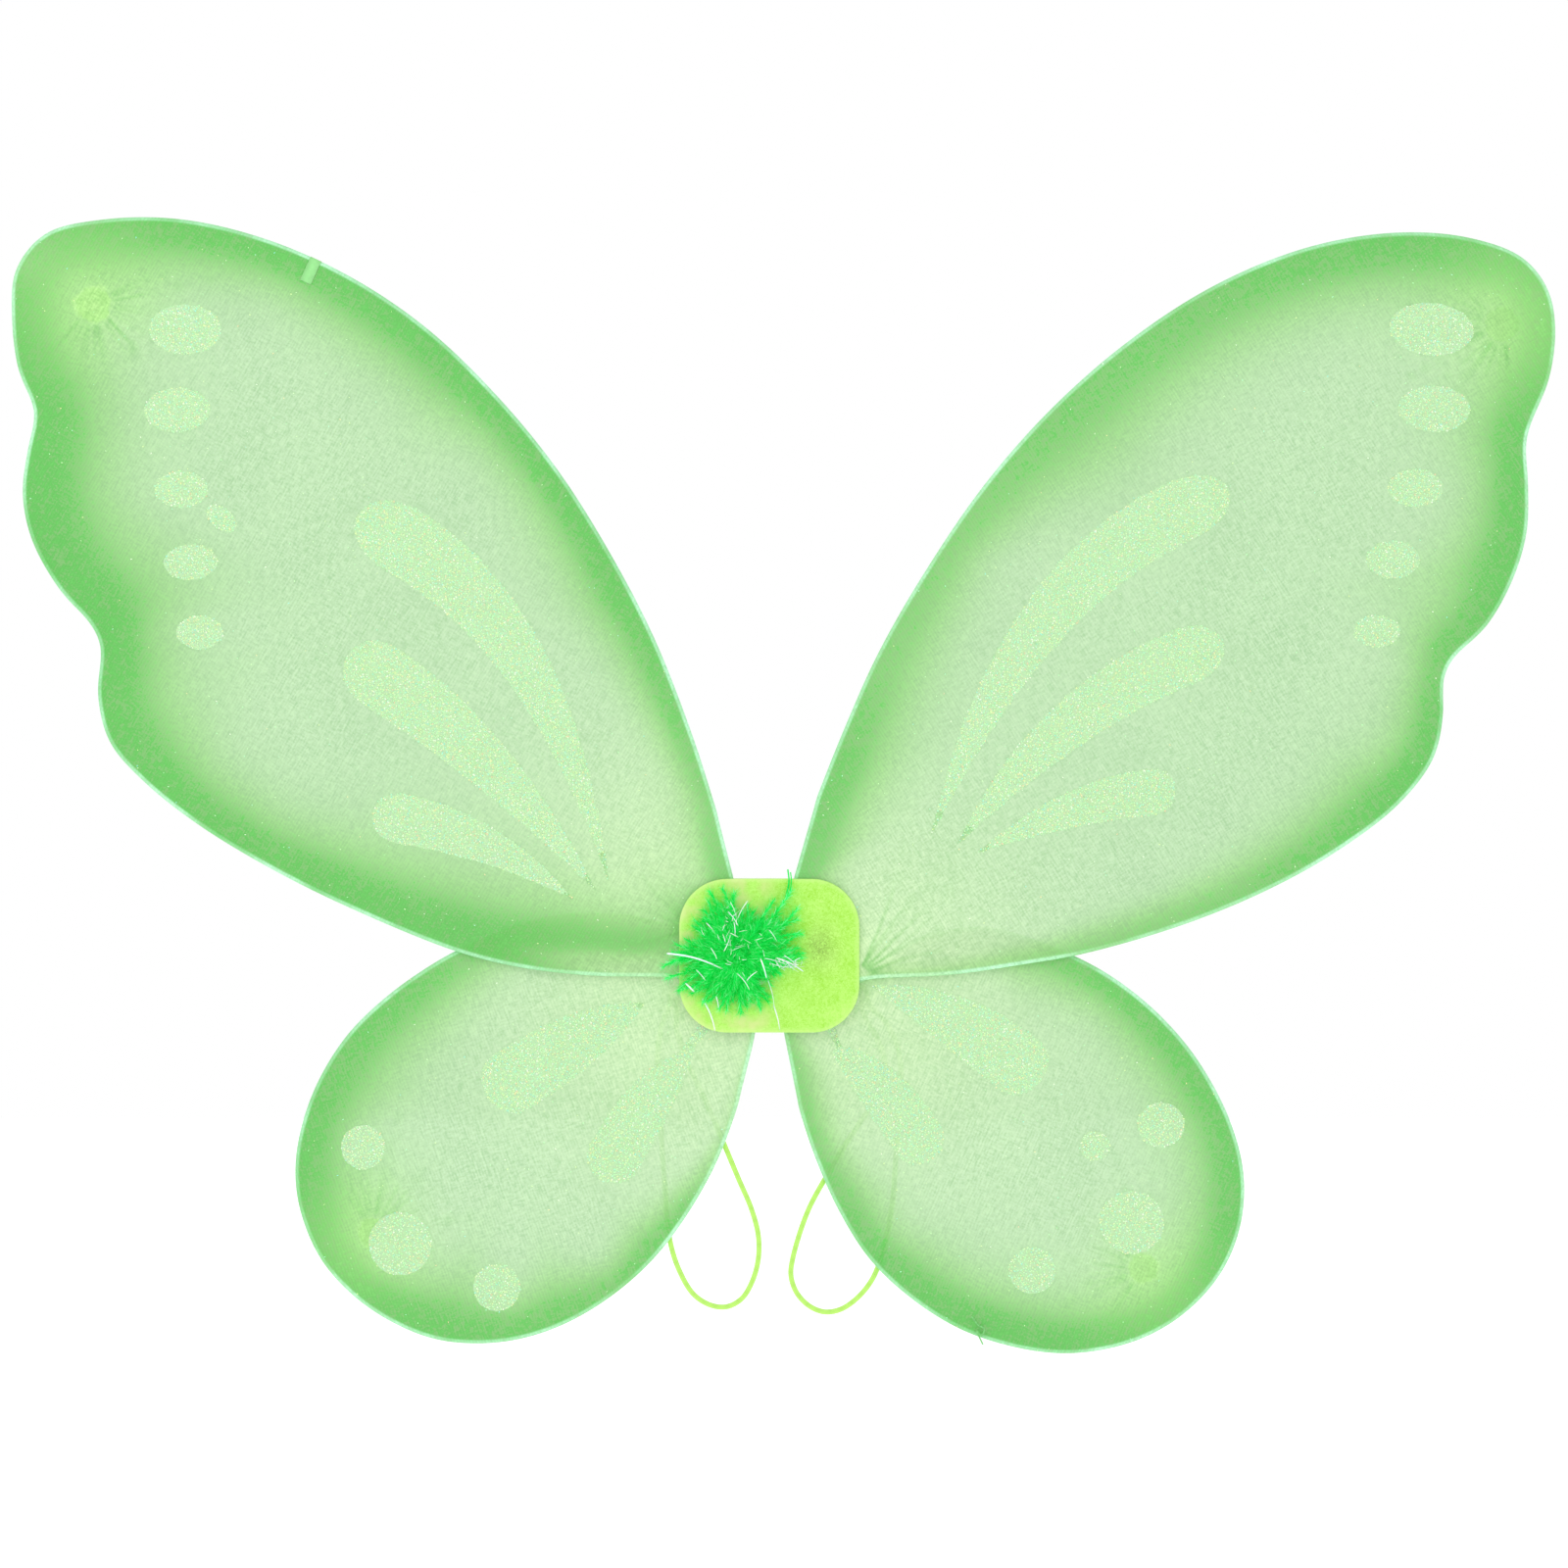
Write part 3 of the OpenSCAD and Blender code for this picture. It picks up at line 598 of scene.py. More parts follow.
# Steel wire wound with mint crepe paper: matt, with slanting wraps and small fibres.
def wireMaterial():
    material, tree, surface = startMaterial("mintPaperWrap")
    place = addNode(tree, "ShaderNodeTexCoord").outputs["Object"]
    wraps = addNode(tree, "ShaderNodeTexWave", {"wave_type": "BANDS", "bands_direction": "DIAGONAL"}, {
        "Vector": place, "Scale": bandScale(3), "Distortion": 0.8}).outputs["Fac"]
    fibre = addNode(tree, "ShaderNodeTexNoise",
                    inputs={"Vector": place, "Scale": noiseScale(0.33), "Detail": 4.0}).outputs["Fac"]
    colour = mixColour(tree, wraps, linearColour("#9FEBB9"), linearColour("#C2F7D3"))
    colour = mixColour(tree, compute(tree, "MULTIPLY", fibre, 0.35), colour, linearColour("#7FD79E"))
    tree.links.new(colour, surface.inputs["Base Color"])
    bump = addNode(tree, "ShaderNodeBump", inputs={"Strength": 0.35, "Distance": 0.0001,
                                                    "Height": compute(tree, "ADD", wraps, fibre)})
    tree.links.new(bump.outputs[0], surface.inputs["Normal"])
    surface.inputs["Roughness"].default_value = 0.75
    surface.inputs["Specular IOR Level"].default_value = 0.25
    return material


feltColours = {
    "clean": "#C1F47E",
    "dark": "#9CDE44",
    "worn": "#CFE38F",                  # bleached, dusty felt round the feathers
    "smear": "#8CA65E",                 # rubbed-in silver glue
    "rim": "#D2FA9C",
}


# Pressed acrylic felt: matt, mottled, tangled fibres, a paler cut edge.
def feltMaterial(colours):
    material, tree, surface = startMaterial("limeFelt")
    place = addNode(tree, "ShaderNodeTexCoord").outputs["Object"]
    tangle = addNode(tree, "ShaderNodeTexNoise", inputs={
        "Vector": place, "Scale": noiseScale(0.91), "Detail": 6.0, "Roughness": 0.75,
        "Distortion": 1.2}).outputs["Fac"]
    patches = addNode(tree, "ShaderNodeTexNoise",
                      inputs={"Vector": place, "Scale": noiseScale(7.7), "Detail": 3.0}).outputs["Fac"]
    mottle = addNode(tree, "ShaderNodeMapRange", inputs={
        "Value": compute(tree, "MULTIPLY_ADD", patches, 0.3, tangle),
        "From Min": 0.5, "From Max": 0.8}).outputs[0]
    colour = mixColour(tree, mottle, linearColour(colours["clean"]), linearColour(colours["dark"]))
    worn = compute(tree, "MULTIPLY", attribute(tree, "worn"), addNode(tree, "ShaderNodeMapRange", inputs={
        "Value": patches, "From Min": 0.38, "From Max": 0.6}).outputs[0])
    colour = mixColour(tree, worn, colour, linearColour(colours["worn"]))
    smear = compute(tree, "MULTIPLY", attribute(tree, "smear"), addNode(tree, "ShaderNodeMapRange", inputs={
        "Value": tangle, "From Min": 0.38, "From Max": 0.6, "To Max": 0.8}).outputs[0])
    colour = mixColour(tree, smear, colour, linearColour(colours["smear"]))
    colour = mixColour(tree, attribute(tree, "rim"), colour, linearColour(colours["rim"]))
    tree.links.new(colour, surface.inputs["Base Color"])
    bump = addNode(tree, "ShaderNodeBump", inputs={"Strength": 0.5, "Distance": 0.00015, "Height": tangle})
    tree.links.new(bump.outputs[0], surface.inputs["Normal"])
    surface.inputs["Roughness"].default_value = 0.95
    surface.inputs["Specular IOR Level"].default_value = 0.1
    surface.inputs["Sheen Weight"].default_value = 0.12
    return material


# Material whose colour runs through a few stops by an attribute, with a fine grain.
def rampMaterial(name, label, stops, roughness, specular=0.3, metallic=0.0, grainSize=0.67,
                 grainAmount=0.2, interpolation="LINEAR", coat=0.0, litThrough=0.0, glow=0.0):
    material, tree, surface = startMaterial(name)
    ramp = addNode(tree, "ShaderNodeValToRGB", inputs={"Fac": attribute(tree, label)})
    ramp.color_ramp.interpolation = interpolation
    while len(ramp.color_ramp.elements) < len(stops):
        ramp.color_ramp.elements.new(0.5)
    for element, (position, colour) in zip(ramp.color_ramp.elements, stops):
        element.position = position
        element.color = linearColour(colour)
    place = addNode(tree, "ShaderNodeTexCoord").outputs["Object"]
    grain = addNode(tree, "ShaderNodeTexNoise",
                    inputs={"Vector": place, "Scale": noiseScale(grainSize), "Detail": 3.0}).outputs["Fac"]
    shade = addNode(tree, "ShaderNodeMapRange", inputs={
        "Value": grain, "From Min": 0.3, "From Max": 0.7,
        "To Min": 1 - grainAmount, "To Max": 1 + grainAmount / 2}).outputs[0]
    grey = addNode(tree, "ShaderNodeCombineColor", inputs={0: shade, 1: shade, 2: shade}).outputs[0]
    grained = mixColour(tree, 1.0, ramp.outputs["Color"], grey, "MULTIPLY")
    tree.links.new(grained, surface.inputs["Base Color"])
    bump = addNode(tree, "ShaderNodeBump", inputs={"Strength": 0.3, "Distance": 0.00005, "Height": grain})
    tree.links.new(bump.outputs[0], surface.inputs["Normal"])
    surface.inputs["Roughness"].default_value = roughness
    surface.inputs["Specular IOR Level"].default_value = specular
    surface.inputs["Metallic"].default_value = metallic
    surface.inputs["Coat Weight"].default_value = coat
    if glow:
        tree.links.new(ramp.outputs["Color"], surface.inputs["Emission Color"])
        surface.inputs["Emission Strength"].default_value = glow
    if litThrough:
        tree.links.new(letLightPass(tree, 1.0, litThrough), surface.inputs["Alpha"])
    return material


# Clear glue carrying the glitter: a pale, slightly milky film with a wet look.
def glueFilmMaterial():
    material, tree, surface = startMaterial("glitterGlue")
    place = addNode(tree, "ShaderNodeTexCoord").outputs["Object"]
    cells = addNode(tree, "ShaderNodeTexVoronoi",
                    inputs={"Vector": place, "Scale": noiseScale(0.67)}).outputs["Color"]
    cloud = addNode(tree, "ShaderNodeTexNoise",
                    inputs={"Vector": place, "Scale": noiseScale(8.3), "Detail": 2.0}).outputs["Fac"]
    colour = mixColour(tree, cloud, linearColour("#CCF6BA"), linearColour("#D6FACA"))
    colour = mixColour(tree, 0.1, colour, cells)
    tree.links.new(colour, surface.inputs["Base Color"])
    tree.links.new(letLightPass(tree, 0.5, 1.0), surface.inputs["Alpha"])
    surface.inputs["Roughness"].default_value = 0.5
    surface.inputs["Specular IOR Level"].default_value = 0.2
    return material


elastic = elasticMaterial()
paperWrap = wireMaterial()
felt = feltMaterial(feltColours)
glueFilm = glueFilmMaterial()
# Polyester glitter, cut film with a metal flash: bright, each flake its own hue.
glitterFlake = rampMaterial("polyesterGlitter", "tint", [
    (0.0, "#BAF6B6"), (0.3, "#D2F8BE"), (0.52, "#B2F6CC"), (0.66, "#E2F8AE"), (0.8, "#F4FFE8"),
    (0.88, "#F2E4AA"), (0.93, "#98EBD8"), (0.98, "#EFCFA6")],
    0.35, metallic=0.1, interpolation="CONSTANT", grainAmount=0.05, litThrough=0.9)
# Marabou: dyed down, soft and dull, with painted shade deep in the middle and painted light towards the barb
# tips.
# Down scatters so much light between its barbs that a little glow, painted light, stands for it.
marabou = rampMaterial("dyedMarabouPaintedLightAndShade", "shade", [
    (0.0, "#05BC3E"), (0.3, "#10E458"), (0.65, "#34F676"), (1.0, "#AEFCC6")],
    0.7, specular=0.15, grainAmount=0.08, litThrough=0.6, glow=0.12)
# Iridescent film tinsel: thin, glossy and nearly white with cold and green flashes.
tinselFilm = rampMaterial("iridescentTinsel", "tint", [
    (0.0, "#E8FFF2"), (0.4, "#FFFFFF"), (0.7, "#D6F7EC"), (1.0, "#EFF6FF")],
    0.18, specular=0.8, metallic=0.25, grainAmount=0.05, coat=0.5)
# Nylon tied off at the back: many thicknesses together, yellower and solid, with painted light and shade
# along its pleats.
tiedNylon = rampMaterial("tiedNylon", "shade", [(0.0, "#8ED862"), (0.5, "#B9F07E"), (1.0, "#D6FAA4")],
                         0.65, specular=0.2, grainAmount=0.12)
# Sewing thread: polyester, dull, with its twist as grain.
sewingThread = rampMaterial("sewingThread", "along", [(0.0, "#7CCB78"), (1.0, "#A4E39B")], 0.6,
                            grainAmount=0.25)
# Adhesive tape: thin plastic film, semi-gloss, pressed round the wire.
greenTape = rampMaterial("greenTape", "shade", [(0.0, "#8CD984"), (1.0, "#9CE492")], 0.35, specular=0.4,
                         grainAmount=0.06, grainSize=1.7)
# Hot-melt glue: cloudy, waxy EVA.
hotMelt = rampMaterial("hotMeltGlue", "shade", [(0.0, "#E4E0BE"), (1.0, "#F2EFD8")], 0.4, specular=0.5,
                       grainAmount=0.08, grainSize=5)
# Cotton thread wound round the wire's legs: dull and off-white.
whiteBinding = rampMaterial("threadBinding", "shade", [(0.0, "#F0EAD2"), (1.0, "#FFFBEA")], 0.7,
                            grainAmount=0.2, grainSize=0.4)
print("materials made")

# Routes are [x, z] in mm, all at one depth behind the wings.
loopSettings = {
    "diameter": 2.0 * mm,
    "depth": -2.7,
    "ringSpacing": 0.4 * mm,
    "sides": 20,
    "strands": 8,
    "braidPitch": 7.0 * mm,
    "reliefDepth": 0.09 * mm,
    "lengths": {"left": 0.250, "right": 0.262},
    "routes": {
        "left": [
            (-37.2, -18.65), (-40, -24.5), (-42, -34), (-42.3, -46), (-41, -66), (-39.6, -87),
            (-37.6, -108), (-34, -119.5), (-28.5, -128.5), (-22, -132.5), (-16, -133), (-10.5, -130),
            (-6.5, -123.5), (-4.2, -115), (-4.2, -106), (-6.8, -96), (-11.5, -85), (-16.5, -73),
            (-21.5, -61), (-27, -49), (-32, -38), (-34.9, -28), (-34.8, -18.65)],
        "right": [
            (37.2, -18.65), (43.5, -25), (48, -33), (49.8, -43), (49.5, -56), (48, -74), (46.5, -94),
            (43, -112), (39, -122.5), (33.5, -129.5), (27, -134), (21, -135), (15.5, -133), (10.5, -128),
            (8.2, -121.5), (8.8, -115), (14.5, -97), (22, -83), (30.5, -69), (38.5, -57), (43, -49),
            (43.8, -40), (40.5, -31), (36.6, -24.5), (34.8, -18.65)],
    },
    # from the swing's axis to the knot in the glue, on the right; the left side mirrors it
    "tails": [
        [(37.2, -19.4), (37.1, -15.6), (35.6, -12.4), (30, -12), (19.5, -12)],
        [(34.8, -19.4), (34.7, -15.9), (33.3, -14.7), (28, -14.6), (19.5, -14.6)],
    ],
    "bendFrom": -15.35 * mm,            # height where a tail starts to follow its loop
    "bendTo": -18.65 * mm,
}


# Height of a braid of strands that wind both ways round the tube.
def braid(settings):
    def relief(around, along):
        turn = 2 * math.pi * along / settings["braidPitch"]
        half = settings["strands"] / 2
        one = np.abs(np.cos(half * around + half * turn))
        two = np.abs(np.cos(half * around - half * turn))
        return settings["reliefDepth"] * (np.maximum(one, two) - 1)
    return relief


def markGaps(piece, radius, depth, path):
    corners = np.array([v.co for v in piece.data.vertices])
    nearest = np.full(len(corners), 1e9)
    for p in path:
        nearest = np.minimum(nearest, np.linalg.norm(corners - p, axis=1))
    gap = np.clip((radius - nearest) / depth, 0, 1)
    layer = piece.data.attributes.new("gap", "FLOAT", "POINT")
    layer.data.foreach_set("value", gap.astype(np.float32))


def elasticPath(route, settings, mirrored=False):
    points = np.insert(np.array(route, float), 1, settings["depth"], axis=1)
    if mirrored:
        points[:, 0] *= -1
    return smoothPath(points * mm, settings["ringSpacing"])


def addLoops(settings):
    for side in ("left", "right"):
        body = f"{side}_loop"
        radius = settings["diameter"] / 2
        path = elasticPath(settings["routes"][side], settings)
        loop = tube(f"{side}_elastic_loop", path, radius, settings["sides"], elastic, braid(settings))
        markGaps(loop, radius, settings["reliefDepth"] * 1.2, path)
        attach(loop, body)
        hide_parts(f"{side}_arm_loop")
        measured = float(np.sum(np.linalg.norm(np.diff(path, axis=0), axis=1)))
        print(f"{side} loop, {measured * 1000:.0f} mm of elastic")
        for number, route in enumerate(settings["tails"], 1):
            path = elasticPath(route, settings, side == "left")
            tail = tube(f"{side}_elastic_tail_{number}", path, radius * 0.97, settings["sides"], elastic,
                        braid(settings))
            markGaps(tail, radius, settings["reliefDepth"] * 1.2, path)
            low, high = Vector(path[0]), Vector(path[0])
            low.z, high.z = settings["bendTo"], settings["bendFrom"]
            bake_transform(tail)
            if number == 1:
                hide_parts(f"{side}_loop_tails")


addLoops(loopSettings)
print("arm loops made")

wingSettings = {
    "rimRadius": 1.0 * mm,              # nylon round the wrapped wire
    "wireRadius": 0.85 * mm,
    "fromCover": 1.75 * mm,             # from the CAD cover's edge to the outside of the rim
    "rimSpacing": 2.0 * mm,
    "rings": [0.12 * mm, 0.45 * mm, 1.0 * mm, 1.7 * mm, 3.0 * mm],
    "grid": 3.4 * mm,
    "fineGrid": 0.85 * mm,
    "layerGap": 0.28 * mm,              # half the distance between the two layers, away from the wire
    "settle": 14 * mm,                  # how far from the wire they come together
    "foldDepth": 0.25 * mm,
    "paintPower": 3.6,                  # how quickly the sprayed colour falls off
    "rootGlow": 60 * mm,                # how far the bunched nylon stays paler than the rest
    "rootShare": 0.46,
    "bendRoom": (-1.0 * mm, 6.0 * mm),  # from the bend line outwards, where the wing starts and ends bending
    "coreRoom": 2 * mm,                 # where the wire's paper wrap stops short of the glue
}
# Lengths are in mm and directions in degrees.
# flat: the stocking laid out, in metres. weave: how far its rows are turned.
# paint: [direction from the wing's middle, width of the sprayed band, strength].
# pale: where the spray missed, [x, z, half length, half breadth, angle, amount].
# bunch: where the nylon is pulled together beside the pad, [x, z, radius, first and last fold, folds, reach].
# tips: where petals of glitter end under the pad, [x, z].
# creases: first and last fold round the tied end. tied: how strongly that end shows through.
wings = {
    "upper_left": {
        "weave": -30, "seed": 11, "flat": (0.275, 0.292),
        "paint": [
            (0, 17, 1), (34, 15, 1), (52, 15, 1), (72, 19, 1), (90, 18, 1), (106, 15, 1), (118, 18, 1),
            (128, 26, 0.94), (144, 26, 1), (160, 31, 1.05), (177, 29, 1.05), (188, 22, 1.05), (210, 27, 1),
            (229, 19, 1), (250, 17, 1), (280, 22, 1.05), (305, 26, 1.2), (315, 22, 1.22), (322, 12, 1.1),
            (330, 10, 0.9), (345, 14, 0.95)],
        "pale": [(-58, -4, 30, 5.5, -6, 0.7), (-34, -3, 14, 6, 0, 0.6), (-281, 262, 12, 9, 45, 0.2)],
        "bunch": [-30, 10, 26, 120, 215, 15, 14], "foldStrength": 0.7, "creases": (-125, 40), "tied": 0.8},
    "upper_right": {
        "weave": 32, "seed": 12, "flat": (0.292, 0.288),
        "paint": [
            (2, 18, 1), (10, 23, 1), (26, 18, 1), (50, 23, 0.97), (60, 20, 1), (85, 23, 0.9),
            (112, 27, 0.86), (126, 25, 0.86), (143, 20, 0.82), (165, 14, 0.76), (190, 18, 0.78), (206, 19, 1),
            (214, 17, 1), (221, 4, 0.4), (236, 4, 0.5), (250, 8, 0.75), (270, 11, 0.8), (294, 15, 0.9),
            (315, 19, 1), (335, 15, 1), (346, 12, 0.9)],
        "bunch": [33, -8, 34, 10, 70, 11, 22], "foldStrength": 1.1, "creases": (140, 300), "tied": 0.35},
    "lower_left": {
        "weave": 20, "seed": 13, "flat": (0.175, 0.17), "tips": [(-32.3, -12.8), (-23.5, -26.0)],
        "paint": [
            (0, 3, 0.35), (22, 2, 0.3), (40, 7, 0.5), (60, 9, 0.45), (90, 11, 0.5), (108, 14, 0.85),
            (130, 18, 0.95), (165, 22, 0.95), (182, 18, 1), (205, 23, 1), (225, 16, 1.05), (248, 22, 1),
            (266, 14, 0.95), (280, 17, 0.95), (300, 10, 0.88), (316, 12, 0.95), (335, 8, 0.9), (348, 5, 0.6)],
        "bunch": [-30, -16, 22, 170, 260, 10, 9], "foldStrength": 0.3, "creases": (-20, 130), "tied": 0.6},
    "lower_right": {
        "weave": -24, "seed": 14, "flat": (0.175, 0.168), "tips": [(22.5, -26.0)],
        "paint": [
            (2, 17, 0.97), (36, 16, 0.97), (60, 13, 0.95), (90, 14, 0.9), (104, 9, 0.7), (125, 6, 0.55),
            (150, 5, 0.6), (160, 9, 0.95), (181, 10, 0.9), (200, 14, 0.93), (215, 14, 0.97), (230, 17, 1),
            (262, 18, 1.05), (300, 17, 1), (325, 18, 1), (345, 18, 1)],
        "bunch": [31, -15, 22, -80, 20, 10, 9], "foldStrength": 0.22, "creases": (90, 270), "tied": 0.6},
}


# Outside edge of a wing's nylon: round the hoop, then down both legs between the pads.
def wingOutline(name, settings):
    cover = openAtLongest(frontLoops(f"{name}_cover")[0])
    gather = openAtLongest(frontLoops(f"{name}_gather")[0])
    if np.linalg.norm(cover[-1] - gather[0]) > np.linalg.norm(cover[-1] - gather[-1]):
        gather = gather[::-1]
    whole = evenly(np.vstack([cover, gather]), settings["rimSpacing"] / 2, True)
    whole = evenly(moved(softened(whole, 1), settings["fromCover"]), settings["rimSpacing"] / 2, True)
    return evenly(softened(whole, 2), settings["rimSpacing"], True)


def foldSpots(name, own):
    low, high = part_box(f"{name}_knot")
    knot = ((low.x + high.x) / 2, (low.z + high.z) / 2)
    reach = (high.x - low.x) / 2
    x, z, radius, first, last, count, length = own["bunch"]
    grid = wingSettings["fineGrid"]
    return [
        {"centre": (x * mm, z * mm), "radius": radius * mm, "grid": grid, "from": 4 * mm, "first": first,
         "last": last, "count": count, "reach": length * mm, "limeReach": radius * 0.9 * mm, "lime": 0.68,
         "strength": own["foldStrength"]},
        {"centre": knot, "radius": 20 * mm, "grid": grid, "from": reach, "first": own["creases"][0],
         "last": own["creases"][1], "count": 17, "reach": 17 * mm, "limeReach": reach * 3.4, "lime": 0.42,
         "blob": reach, "strength": 1.0},
    ]


# Thin folds that fan out from each spot, as a depth from 0 to 1.
def foldField(places, spots, seed):
    source = np.random.default_rng(seed)
    field = np.zeros(len(places))
    for spot in spots:
        toPoint = places - np.array(spot["centre"])
        far = np.linalg.norm(toPoint, axis=1)
        heading = np.degrees(np.arctan2(toPoint[:, 1], toPoint[:, 0]))
        directions = np.linspace(spot["first"], spot["last"], spot["count"], endpoint=False)
        directions = directions + source.uniform(-0.4, 0.4, spot["count"]) * (directions[1] - directions[0])
        strengths = source.uniform(0.35, 1.0, spot["count"])
        reaches = source.uniform(0.5, 1.4, spot["count"]) * spot["reach"]
        for direction, strength, reach in zip(directions, strengths, reaches):
            bend = source.uniform(-0.25, 0.25) * (far / mm)
            apart = (heading - direction - bend + 180) % 360 - 180
            across = np.radians(apart) * far
            ridge = spot["strength"] * np.exp(-(across / (0.62 * mm)) ** 2) * (np.abs(apart) < 40)
            start = smoothstep((far - 0.9 * spot["from"]) / (0.5 * spot["from"]))
            field += strength * ridge * start * np.exp(-np.maximum(far - spot["from"], 0) / reach)
    return np.clip(field, 0, 1)


def middleOf(loop):
    ahead = np.roll(loop, -1, axis=0)
    weight = loop[:, 0] * ahead[:, 1] - ahead[:, 0] * loop[:, 1]
    return ((loop + ahead) * weight[:, None]).sum(axis=0) / (3 * weight.sum())


def paintField(places, depth, outline, own, power):
    away = places - middleOf(outline)
    heading = np.degrees(np.arctan2(away[:, 1], away[:, 0])) % 360
    directions, widths, strengths = np.array(own["paint"], float).T
    width = np.interp(heading, directions, widths, period=360) * mm
    strength = np.interp(heading, directions, strengths, period=360)
    paint = strength / (1 + (depth / width) ** power)
    for x, z, length, breadth, angle, amount in own.get("pale", []):
        turn = math.radians(angle)
        across = (places - np.array([x, z]) * mm) @ np.array([[math.cos(turn), -math.sin(turn)],
                                                              [math.sin(turn), math.cos(turn)]]) / mm
        paint *= 1 - amount * np.exp(-(across[:, 0] / length) ** 2 - (across[:, 1] / breadth) ** 2)
    return paint


def addWing(name, own, settings):
    outline = wingOutline(name, settings)
    low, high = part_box(f"{name}_cover")
    middle = (low.y + high.y) / 2
    spots = foldSpots(name, own)
    radius, gap, settle = settings["rimRadius"], settings["layerGap"], settings["settle"]

    def thickness(depth):
        inRim = np.clip(1 - depth / radius, 0, 1)
        return np.where(depth < radius, radius * np.sqrt(1 - inRim ** 2),
                        gap + (radius - gap) * (1 - smoothstep((depth - radius) / settle)))

    def lift(places, depth):
        fade = smoothstep((depth - 1.5 * mm) / (3 * mm))
        return settings["foldDepth"] * foldField(places, spots, own["seed"]) * fade

    def values(places, depth):
        bunch, knot = spots
        far = np.linalg.norm(places - np.array(bunch["centre"]), axis=1)
        lime = np.maximum(bunch["lime"] * np.exp(-(far / bunch["limeReach"]) ** 2),
                          settings["rootShare"] * np.exp(-(far / settings["rootGlow"]) ** 2))
        across = places - np.array(knot["centre"])
        far = np.linalg.norm(across, axis=1)
        heading = np.arctan2(across[:, 1], across[:, 0])
        edge = knot["blob"] * (0.95 + 0.1 * np.sin(3 * heading + own["seed"]) + 0.06 * np.sin(7 * heading))
        tied = np.maximum(knot["lime"] * np.exp(-(far / knot["limeReach"]) ** 2),
                          own["tied"] * (1 - smoothstep((far - edge) / (1.4 * mm))))
        paint = paintField(places, depth, outline, own, settings["paintPower"])
        return {"paint": paint, "lime": lime * (1 - 0.6 * paint), "tied": tied,
                "fold": 0.75 * foldField(places, spots, own["seed"]),
                "hem": 1 - smoothstep((depth - 1.0 * mm) / (0.8 * mm))}

    material = nylonMaterial(f"sheerNylon_{name}", own["weave"], nylonColours)
    nylon = twoLayers(f"{name}_nylon", outline, settings["rings"], settings["grid"], middle, thickness,
                      values, material, spots, lift)
    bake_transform(nylon)
    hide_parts(f"{name}_cover", f"{name}_gather")

    inner = moved(outline, -radius)
    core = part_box("glue_core")[1] + Vector((1, 0, 1)) * settings["coreRoom"]
    outside = (np.abs(inner[:, 0]) > core.x) | (np.abs(inner[:, 1]) > core.z)
    gaps = np.flatnonzero(~outside)
    start = gaps[np.argmax(np.diff(np.append(gaps, gaps[0] + len(inner))))] + 1
    chain = np.roll(inner, -start, axis=0)[:int(outside.sum())]
    path = np.column_stack([chain[:, 0], np.full(len(chain), middle), chain[:, 1]])
    wire = tube(f"{name}_wire", evenly(path, 1.5 * mm, False), settings["wireRadius"], 14, paperWrap,
                lambda around, along: 0.04 * mm * np.sin(around + along / (0.5 * mm)))
    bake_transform(wire)
    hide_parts(f"{name}_hoop")
    return outline, middle, nylon


wingShapes = {}
for wingName, ownSettings in wings.items():
    wingShapes[wingName] = addWing(wingName, ownSettings, wingSettings)
print("wings made")

glitterSettings = {
    "rimSpacing": 0.9 * mm,
    "rimJitter": 0.22 * mm,
    "grid": 2.0 * mm,
    "filmHalf": 0.06 * mm,
    "filmRise": 0.10 * mm,              # from the nylon's front to the film's middle
    "flakeRadius": 0.33 * mm,
    "flakesPerSquare": 1.3e6,           # for each square metre
    "strayPerSquare": 7.0e3,
    "tipReach": 18 * mm,                # how far a petal may be drawn out to its tip
    "tipWidth": 4.4 * mm,
}


# Loop drawn out to a pointed tip, where the tip lies close to it and outside it.
def pulledOut(loop, tip, reach, width):
    middles = (loop + np.roll(loop, -1, axis=0)) / 2
    away = np.linalg.norm(middles - tip, axis=1)
    nearest = int(np.argmin(away))
    if away[nearest] > reach or inside(tip[None], loop)[0]:
        return loop
    across = np.array([tip[1], -tip[0]]) / np.linalg.norm(tip) * width / 2
    ends = [tip + across, tip - across]
    drawn = [np.insert(loop, nearest + 1, order, axis=0) for order in (ends, ends[::-1])]
    return max(drawn, key=lambda way: abs(loopArea(way)))


def flakeObject(name, radius):
    angles = np.arange(6) * math.pi / 3
    points = np.column_stack([radius * np.cos(angles), radius * np.sin(angles), np.zeros(6)])
    return meshObject(name, points, [(0, 1, 2, 3, 4, 5)])


